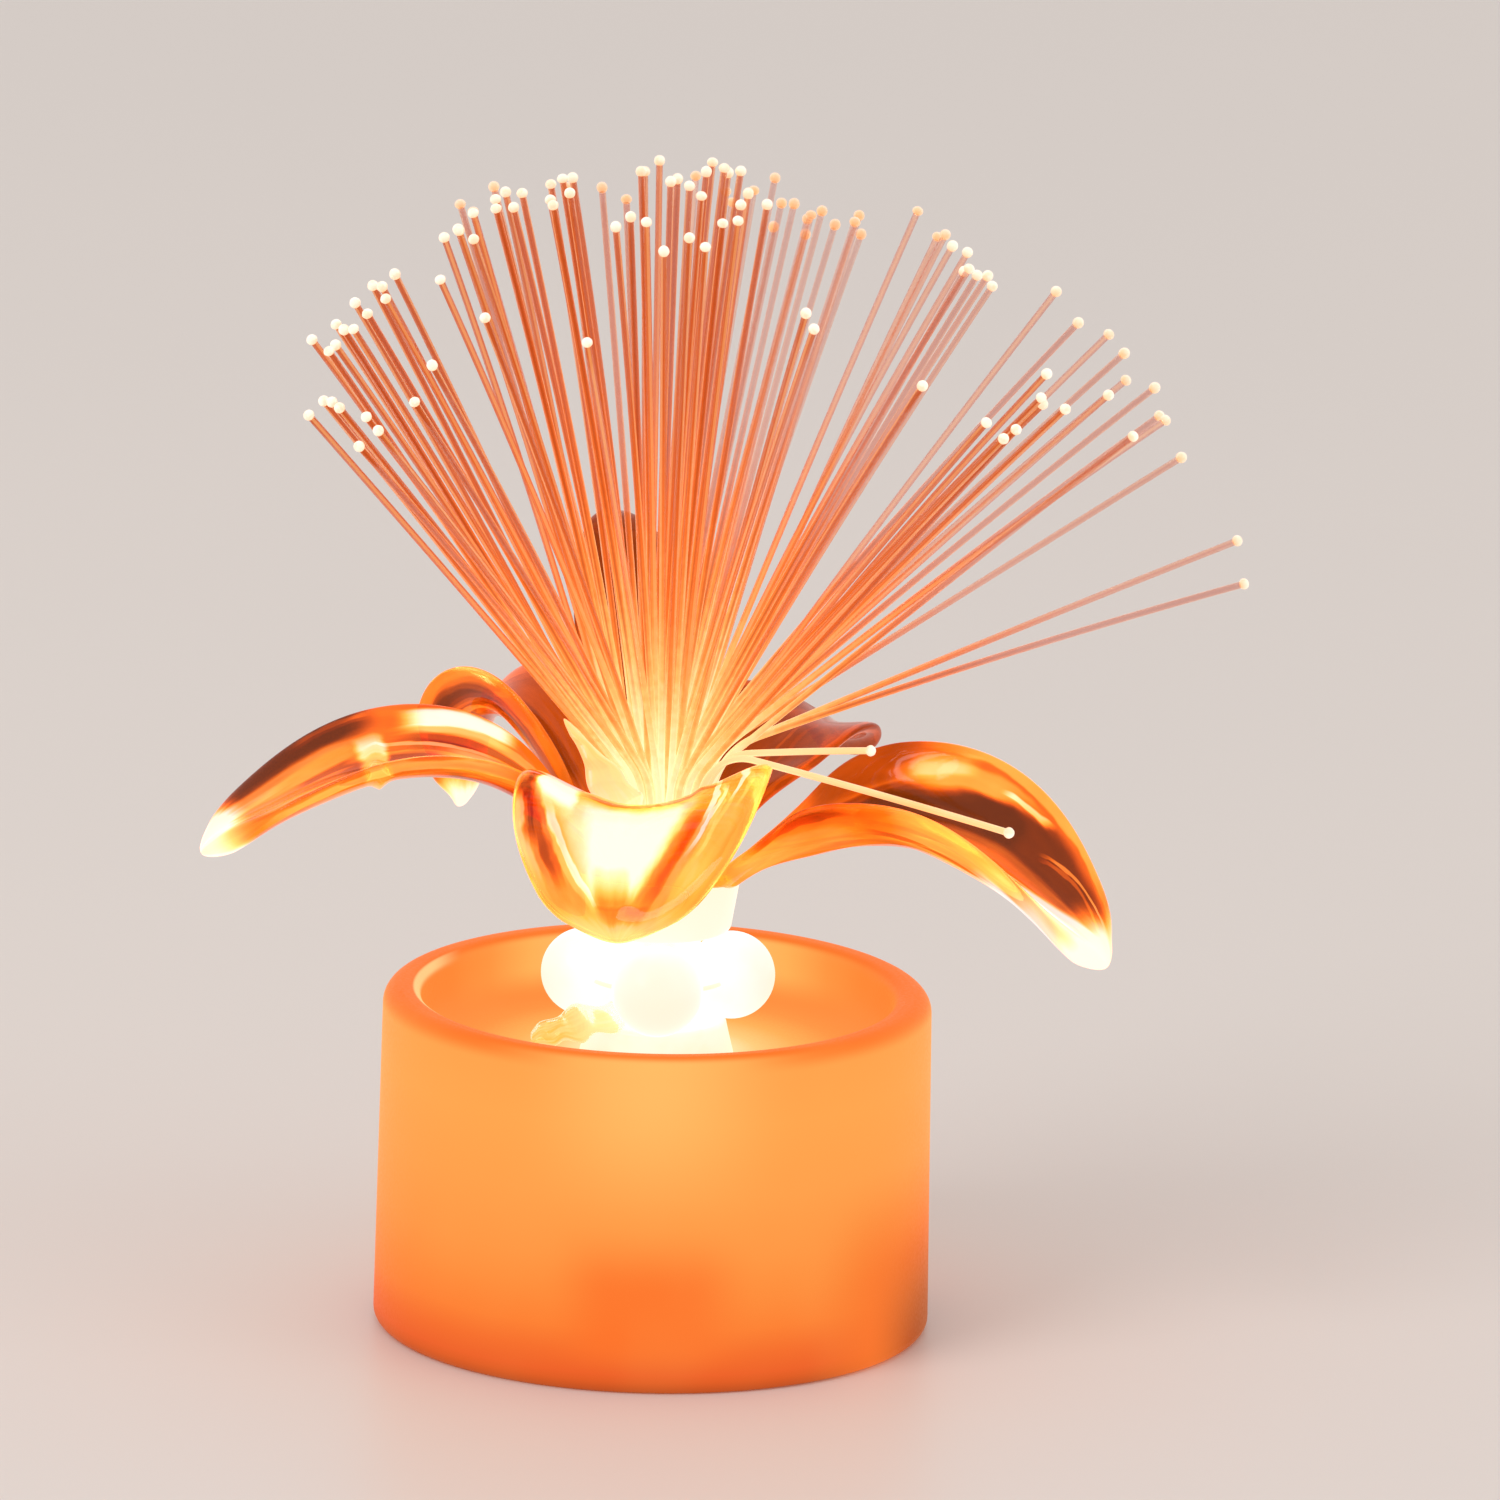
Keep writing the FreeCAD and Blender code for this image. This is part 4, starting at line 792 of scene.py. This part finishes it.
def lit_fibre():
    """Clear strands that glow at the neck, fade on the way out and end in bright melted tips."""
    paint = Paint("lit_fibre")
    run, bead, hue, line, faint = [paint.marked(mark) for mark in ("run", "bead", "hue", "line", "faint")]
    _, back, _ = paint.axes()
    stray = paint.between(hue, STRAY_HUE - 0.6, STRAY_HUE - 0.4)
    tipped = paint.between(bead, 0.2, 0.4)
    grain = paint.noise(900, 2.0)
    far = run + (hue - stray * STRAY_HUE - 0.5) * 0.20 + (grain - 0.5) * 0.14
    shaft = paint.ramp(
        far,
        [(0.0, tone(255, 238, 186)), (0.09, tone(255, 216, 148)), (0.17, tone(254, 184, 102)),
         (0.27, tone(246, 142, 66)), (0.42, tone(226, 108, 40)), (0.66, tone(198, 84, 28)), (1.0, tone(180, 76, 28))],
    )
    # painted highlight and painted shade: a pale line and a dark line along each strand
    shine_lines_share = paint.between(run, 0.08, 0.3)
    shaft = paint.mix(paint.between(line, 0.35, 0.75) * shine_lines_share * 0.45, shaft, tone(255, 190, 120))
    shaft = paint.mix(paint.between(line, -0.45, -0.85) * shine_lines_share * 0.55, shaft, tone(150, 56, 20))
    shaft = paint.mix(stray, shaft, paint.mix(paint.noise(90, 2.0), tone(254, 190, 112), tone(255, 228, 176)))
    tip = paint.mix(paint.between(bead, 0.5, 0.9), tone(252, 190, 124), tone(255, 248, 228))
    tip = paint.mix(paint.between(back, -0.02, 0.05, 0.0, 0.8) * (1.0 - stray), tip, tone(238, 166, 106))
    tip = paint.mix(paint.between(grain, 0.46, 0.62, 0.0, 0.3), tip, tone(255, 190, 120))
    color = paint.mix(tipped, shaft, tip)
    faded = paint.between(far, 0.12, 0.72) * faint * (1.0 - tipped)
    return paint.surface(
        Base_Color=paint.mix(0.75, color, tone(96, 32, 6)), Roughness=0.18, IOR=1.49, Transmission_Weight=0.2,
        Specular_Tint=tone(255, 186, 128), Emission_Color=paint.dim(color, 0.14), Emission_Strength=1.0,
        Alpha=1.0 - faded, Normal=paint.bump(grain, 0.2, 0.0002),
    )


# ---- other finishes ----
def frosted_base(look):
    """Frosted orange plastic lit from inside, with its glow painted on: brightest high on the wall and round the stem
    in the dish, with painted shade low down and along the rim, and a painted highlight on the dish's left edge.
    """
    paint = Paint("frosted_base")
    x, y, z = [value / MM for value in paint.axes()]
    radius = (x * x + y * y) ** 0.5
    off_middle = (x * x) ** 0.5
    # painted glow that grows brighter upward, with painted shade along the bottom edge by the table
    wall = paint.ramp(
        z,
        [(0.0, tone(184, 78, 32)), (1.4, tone(226, 94, 38)), (2.2, look.wall_low), (4.5, tone(246, 112, 46)),
         (7.2, tone(253, 130, 53)), (11.0, look.wall_middle), (15.0, tone(255, 151, 68)), (22.0, look.wall_high),
         (30.0, tone(255, 167, 80)), (37.5, tone(255, 164, 78))],
    )
    front = paint.between(y, -20.0, -30.0)
    # painted light: a brighter patch high on the front wall, above the light inside
    led_hot_spot = front * paint.between(z, 17.0, 35.0) * paint.between(off_middle, 17.0, 0.0)
    # painted shadow of the battery holder inside, low on the front wall
    battery_shadow = front * paint.between(off_middle, 12.0, 4.0) * paint.between(z, 19.0, 11.0) * paint.between(z, 2.0, 6.0)
    # painted shade: the right side of the wall darker and deeper orange below its middle
    right_side_shade = paint.between(x, 17.0, 26.0) * paint.between(z, 23.0, 8.0)
    shade = paint.between(x, 23.5, 30.5) * paint.between(z, 15.0, 1.5)
    # painted shade: a darker band along the top of the rim, away from the middle
    rim = paint.between(z, 35.4, 37.2) * paint.between(off_middle, 8.0, 20.0)
    # each painted patch of light and shade is laid over the wall's glow
    for painted_patch, share, glow in (
        (led_hot_spot, 0.85, tone(255, 193, 106)),
        (battery_shadow, 0.8, tone(253, 116, 44)),
        (right_side_shade, 0.9, tone(250, 112, 36)),
        (shade, 0.75, tone(124, 46, 14)),
        (rim, 0.85, tone(251, 116, 36)),
    ):
        wall = paint.mix(painted_patch * share, wall, glow)
    floor = paint.ramp(
        radius,
        [(8.0, tone(255, 232, 172)), (11.0, tone(255, 204, 124)), (15.5, tone(254, 176, 88)), (20.5, look.dish_near),
         (24.0, look.dish_far)],
    )
    # painted light: the dish's inner wall is brighter the nearer it lies to the middle from side to side
    inner_wall = paint.ramp(
        off_middle,
        [(4.0, tone(255, 204, 122)), (14.0, tone(254, 180, 90)), (18.5, tone(254, 152, 68)),
         (22.5, tone(254, 138, 57)), (25.5, tone(254, 132, 54))],
    )
    dish = paint.mix(paint.between(z, 31.0, 34.0), floor, inner_wall)
    # painted shade: a darker ring along the top of the rim's inner edge
    ring = paint.between(z, 36.6, 37.3) * paint.between(radius, 25.6, 26.6)
    dish = paint.mix(ring, dish, tone(252, 120, 40))
    # painted highlight: a pale arc on the dish's inner edge at the left, where the stem's light shines back
    off_highlight_arc = radius - 26.3
    arc = paint.between(off_highlight_arc * off_highlight_arc, 0.30, 0.02) * paint.between(x, -21.5, -25.0)
    dish = paint.mix(arc * paint.between(z, 36.0, 36.8), dish, tone(255, 205, 132))
    color = paint.mix(paint.between(radius, 29.6, 28.4), wall, dish)
    cloud = paint.noise(55, 2.0)
    color = paint.mix(paint.between(cloud, 0.35, 0.75, 0.0, 0.10), color, tone(255, 178, 92))
    grain = paint.noise(1.0 / look.grain, 2.0)
    return paint.surface(
        Base_Color=paint.dim(color, 0.92), Roughness=paint.rough(grain, 0.36, 0.48), Specular_IOR_Level=0.05,
        Specular_Tint=tone(255, 176, 110), Emission_Color=paint.dim(color, 0.07), Emission_Strength=1.0,
        Normal=paint.bump(grain, 0.12, 0.0001),
    )


def frosted_glow(name, core, rim, reach):
    """Frosted plastic close to the light, white by the stem's axis and warmer further out."""
    paint = Paint(name)
    x, y, _ = paint.axes()
    radius = (x * x + y * y) ** 0.5
    grain = paint.noise(1800, 2.0)
    cloud = paint.noise(260, 2.0)
    color = paint.mix(paint.between(radius / MM, reach[0], reach[1]), core, rim)
    color = paint.mix(paint.between(cloud, 0.4, 0.75, 0.0, 0.25), color, rim)
    return paint.surface(
        Base_Color=paint.dim(color, 0.85), Roughness=paint.rough(grain, 0.3, 0.42), Specular_IOR_Level=0.3,
        Emission_Color=color, Emission_Strength=1.0, Normal=paint.bump(grain, 0.15, 0.00015),
    )


def clear_stem(look):
    """Clear plastic round the light path."""
    paint = Paint("clear_stem")
    _, _, z = paint.axes()
    fine = paint.noise(400, 2.0)
    glow = paint.ramp(
        z / MM,
        [(30.0, tone(255, 250, 236)), (46.0, tone(255, 236, 196)), (52.0, look.honey), (60.0, tone(250, 170, 84))],
    )
    return paint.surface(
        Base_Color=paint.mix(fine, tone(255, 214, 150), tone(255, 198, 120)), Roughness=paint.rough(fine, 0.06, 0.14),
        IOR=1.49, Transmission_Weight=0.5, Emission_Color=glow, Emission_Strength=1.0,
    )


def moulded(name, color, roughness, grain_size=0.4, depth=0.00006):
    """Plain moulded plastic with a fine spark-eroded grain."""
    paint = Paint(name)
    grain = paint.noise(1000 / grain_size, 3.0)
    cloud = paint.noise(90, 2.0)
    shade = paint.mix(paint.between(cloud, 0.3, 0.75), tuple(c * 0.88 for c in color), color)
    return paint.surface(
        Base_Color=shade, Roughness=paint.rough(grain, roughness - 0.06, roughness + 0.06),
        Normal=paint.bump(grain, 0.3, depth),
    )


def drawn_metal(name, color, roughness, axis):
    """Thin metal strip or wire with drawing marks along one axis."""
    paint = Paint(name)
    stretch = [6000.0, 6000.0, 6000.0]
    stretch[axis] = 300.0
    lines = paint.noise(1.0, 3.0, paint.node("ShaderNodeMapping", inputs={"Vector": paint.place(), "Scale": stretch}))
    stain = paint.noise(300, 2.0)
    shade = paint.mix(paint.between(stain, 0.4, 0.8, 0.0, 0.4), color, tuple(c * 0.7 for c in color))
    return paint.surface(
        Base_Color=shade, Metallic=1.0, Roughness=paint.rough(lines, roughness - 0.08, roughness + 0.1),
        Normal=paint.bump(lines, 0.15, 0.00003),
    )


def printed_board():
    """Green solder mask over fibre cloth, with tracks that shine through it."""
    paint = Paint("printed_board")
    weave = paint.node("ShaderNodeTexChecker", inputs={"Vector": paint.place(), "Scale": 2200.0}, output="Fac")
    cells = paint.node(
        "ShaderNodeTexVoronoi", {"feature": "DISTANCE_TO_EDGE"}, {"Vector": paint.place(), "Scale": 260.0}
    )
    tracks = paint.between(cells, 0.10, 0.06)
    green = paint.mix(weave * 0.2, tone(22, 96, 54), tone(30, 112, 66))
    return paint.surface(
        Base_Color=paint.mix(tracks * 0.6, green, tone(48, 142, 84)), Roughness=0.3, Coat_Weight=0.4,
        Normal=paint.bump(tracks, 0.25, 0.00008),
    )


def banded_resistor():
    """Tan lacquered body with four colour bands."""
    paint = Paint("banded_resistor")
    _, y, _ = paint.axes()
    position = y / MM
    color = tone(214, 178, 130)
    for middle, band in ((-1.3, tone(120, 60, 30)), (-0.6, tone(20, 20, 20)), (0.1, tone(190, 40, 30)),
                         (1.2, tone(196, 150, 60))):
        mask = paint.between((position - middle) * (position - middle), 0.05, 0.03)
        color = paint.mix(mask, color, band)
    grain = paint.noise(900, 2.0)
    return paint.surface(Base_Color=color, Roughness=paint.rough(grain, 0.25, 0.4), Coat_Weight=0.5)


def wear(node, material):
    """Gives a node of the frame its finish."""
    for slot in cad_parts[node].material_slots:
        slot.material = material


# ---- operators ----
class LAMP_OT_stage(bpy.types.Operator):
    """Plain floor, soft light and the camera"""

    bl_idname = "lamp.stage"
    bl_label = "Stage"

    def execute(self, context):
        look = context.scene.lamp_stage
        paint = Paint("floor")
        cloud = paint.noise(3.0, 2.0)
        material = paint.surface(
            Base_Color=paint.mix(paint.between(cloud, 0.3, 0.7, 0.0, 0.06), tuple(look.floor), (0.5, 0.48, 0.47)),
            Roughness=0.42, Specular_IOR_Level=0.3,
        )
        half = 6000.0
        corners = [(-half, -half, 0), (half, -half, 0), (half, half, 0), (-half, half, 0)]
        floor = new_piece("floor", corners, [(0, 1, 2, 3)], material)
        for name, place, size, power in (
            ("key_light", (-0.75, -0.75, 0.95), 0.7, look.key),
            ("fill_light", (0.95, -0.5, 0.6), 0.8, look.key * 0.25),
        ):
            light = bpy.data.lights.new(name, "AREA")
            light.shape = "DISK"
            light.size = size
            light.energy = power
            lamp = bpy.data.objects.new(name, light)
            lamp.location = place
            lamp.rotation_euler = (Vector((0, 0, 0.05)) - Vector(place)).to_track_quat("-Z", "Y").to_euler()
            context.scene.collection.objects.link(lamp)
        world = bpy.data.worlds.new("sky")
        world.use_nodes = True
        sky = world.node_tree.nodes["Background"].inputs
        sky["Color"].default_value = (1.0, 0.985, 0.97, 1.0)
        sky["Strength"].default_value = look.sky
        context.scene.world = world
        context.scene.view_settings.view_transform = "Standard"
        self.camera(context, look.distance)
        return {"FINISHED"}

    def camera(self, context, distance):
        """Looks down on the lamp from well off, turned a little about its own line of sight."""
        frame_side = 1500.0
        pixels_per_metre = 9150.0
        top_of_base = Vector((0, 0, 0.0375))
        right_of_middle, below_middle = 657.7 - 750.0, 988.7 - 750.0
        pitch, roll = math.radians(14.45), math.radians(1.35)
        forward = Vector((0, math.cos(pitch), -math.sin(pitch)))
        level_right, level_up = Vector((1, 0, 0)), Vector((0, math.sin(pitch), math.cos(pitch)))
        right = level_right * math.cos(roll) + level_up * math.sin(roll)
        up = level_up * math.cos(roll) - level_right * math.sin(roll)
        lens = bpy.data.cameras.new("camera")
        lens.sensor_width = 36.0
        lens.lens = 36.0 * pixels_per_metre * distance / frame_side
        lens.clip_end = 50.0
        eye = bpy.data.objects.new("camera", lens)
        centre = top_of_base - right * (right_of_middle / pixels_per_metre) + up * (below_middle / pixels_per_metre)
        eye.matrix_world = Matrix.Translation(centre - forward * distance) @ Matrix(
            (right, up, -forward)
        ).transposed().to_4x4()
        context.scene.collection.objects.link(eye)
        context.scene.camera = eye


class LAMP_OT_base(bpy.types.Operator):
    """Frosted shell of the base"""

    bl_idname = "lamp.base"
    bl_label = "Base"

    def execute(self, context):
        wear("base_shell", frosted_base(context.scene.lamp_base))
        return {"FINISHED"}


class LAMP_OT_underside(bpy.types.Operator):
    """Bottom cover, battery cap and switch knob"""

    bl_idname = "lamp.underside"
    bl_label = "Underside"

    def execute(self, context):
        wear("bottom_cover", moulded("cover_plastic", tone(232, 214, 196), 0.45))
        wear("battery_cap", moulded("cap_plastic", tone(226, 206, 188), 0.4))
        wear("switch_knob", moulded("knob_plastic", tone(34, 33, 33), 0.38))
        return {"FINISHED"}


class LAMP_OT_electrics(bpy.types.Operator):
    """Cell, contacts, board, lamp, switch and wires inside the base"""

    bl_idname = "lamp.electrics"
    bl_label = "Electrics"

    def execute(self, context):
        wear("coin_cell", drawn_metal("cell_steel", tone(205, 205, 203), 0.25, 0))
        plated = drawn_metal("plated_strip", tone(208, 202, 190), 0.28, 2)
        for node in ("contact_negative", "contact_positive", "board_screws", "led_leads", "switch_terminals"):
            wear(node, plated)
        wear("switch_body", drawn_metal("switch_can", tone(196, 194, 190), 0.33, 1))
        wear("foot_retainer", drawn_metal("spring_steel", tone(176, 176, 178), 0.3, 0))
        wear("circuit_board", printed_board())
        wear("resistor", banded_resistor())
        wear("led", frosted_glow("led_lens", tone(255, 232, 180), tone(255, 200, 110), (0.5, 2.6)))
        wear("switch_wire_front", moulded("red_insulation", tone(176, 32, 24), 0.42, 0.8))
        wear("switch_wire_middle", moulded("black_insulation", tone(30, 30, 32), 0.42, 0.8))
        return {"FINISHED"}


class LAMP_OT_stem(bpy.types.Operator):
    """Foot, collar, beads on their wire and the clear light path"""

    bl_idname = "lamp.stem"
    bl_label = "Stem"

    def execute(self, context):
        look = context.scene.lamp_glow
        frosted = frosted_glow("frosted_stem", tuple(look.white), tuple(look.cream), (5.0, 9.5))
        wear("stem_foot", frosted_glow("frosted_foot", tone(255, 250, 238), tone(255, 222, 160), (6.0, 11.0)))
        wear("stem_collar", frosted)
        bead = frosted_glow("frosted_bead", tuple(look.white), tone(250, 236, 214), (8.5, 14.0))
        for side in ("left", "right", "back", "front"):
            wear("bead_" + side, bead)
        # the wire gets a painted glow, as bright as the frosted plastic round it, though it gives no light itself
        wear("bead_wire", frosted_glow("bead_wire", tone(255, 246, 226), tone(255, 236, 200), (4.0, 12.0)))
        clear = clear_stem(look)
        for node in ("light_pipe", "stem_tube", "ferrule"):
            wear(node, clear)
        leaf = make_sliver("small_leaf_torn", clear_sliver("leaf", tone(255, 244, 214), tone(252, 172, 84)))
        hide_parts("small_leaf")
        return {"FINISHED"}


class LAMP_OT_petals(bpy.types.Operator):
    """Six petals of clear amber plastic"""

    bl_idname = "lamp.petals"
    bl_label = "Petals"

    def execute(self, context):
        look, shape = context.scene.lamp_glow, context.scene.lamp_petal
        for name in PETALS:
            make_petal(name, shape, clear_petal(name, look))
        make_sliver("petal_sliver", clear_sliver("sliver", tone(255, 240, 206), tone(254, 206, 136)))
        return {"FINISHED"}


class LAMP_OT_spray(bpy.types.Operator):
    """Light fibres with melted tips"""

    bl_idname = "lamp.spray"
    bl_label = "Spray"

    def execute(self, context):
        make_spray(context.scene.lamp_spray, lit_fibre())
        return {"FINISHED"}


class LAMP_PT_panel(bpy.types.Panel):
    bl_idname = "LAMP_PT_panel"
    bl_label = "Flower Lamp"
    bl_space_type = "VIEW_3D"
    bl_region_type = "UI"
    bl_category = "Flower Lamp"

    def draw(self, context):
        for operator in OPERATORS:
            self.layout.operator(operator.bl_idname)


SETTINGS = {
    "lamp_base": BaseLook,
    "lamp_glow": GlowLook,
    "lamp_petal": PetalShape,
    "lamp_spray": SprayShape,
    "lamp_stage": StageLook,
}
OPERATORS = (
    LAMP_OT_stage, LAMP_OT_base, LAMP_OT_underside, LAMP_OT_electrics, LAMP_OT_stem, LAMP_OT_petals, LAMP_OT_spray,
)


def register():
    for name, group in SETTINGS.items():
        bpy.utils.register_class(group)
        setattr(bpy.types.Scene, name, PointerProperty(type=group))
    for operator in OPERATORS:
        bpy.utils.register_class(operator)
    bpy.utils.register_class(LAMP_PT_panel)


def unregister():
    bpy.utils.unregister_class(LAMP_PT_panel)
    for operator in reversed(OPERATORS):
        bpy.utils.unregister_class(operator)
    for name, group in SETTINGS.items():
        delattr(bpy.types.Scene, name)
        bpy.utils.unregister_class(group)


def main():
    register()
    bpy.ops.lamp.stage()
    bpy.ops.lamp.base()
    bpy.ops.lamp.underside()
    bpy.ops.lamp.electrics()
    bpy.ops.lamp.stem()
    bpy.ops.lamp.petals()
    bpy.ops.lamp.spray()


if __name__ == "__main__":
    main()
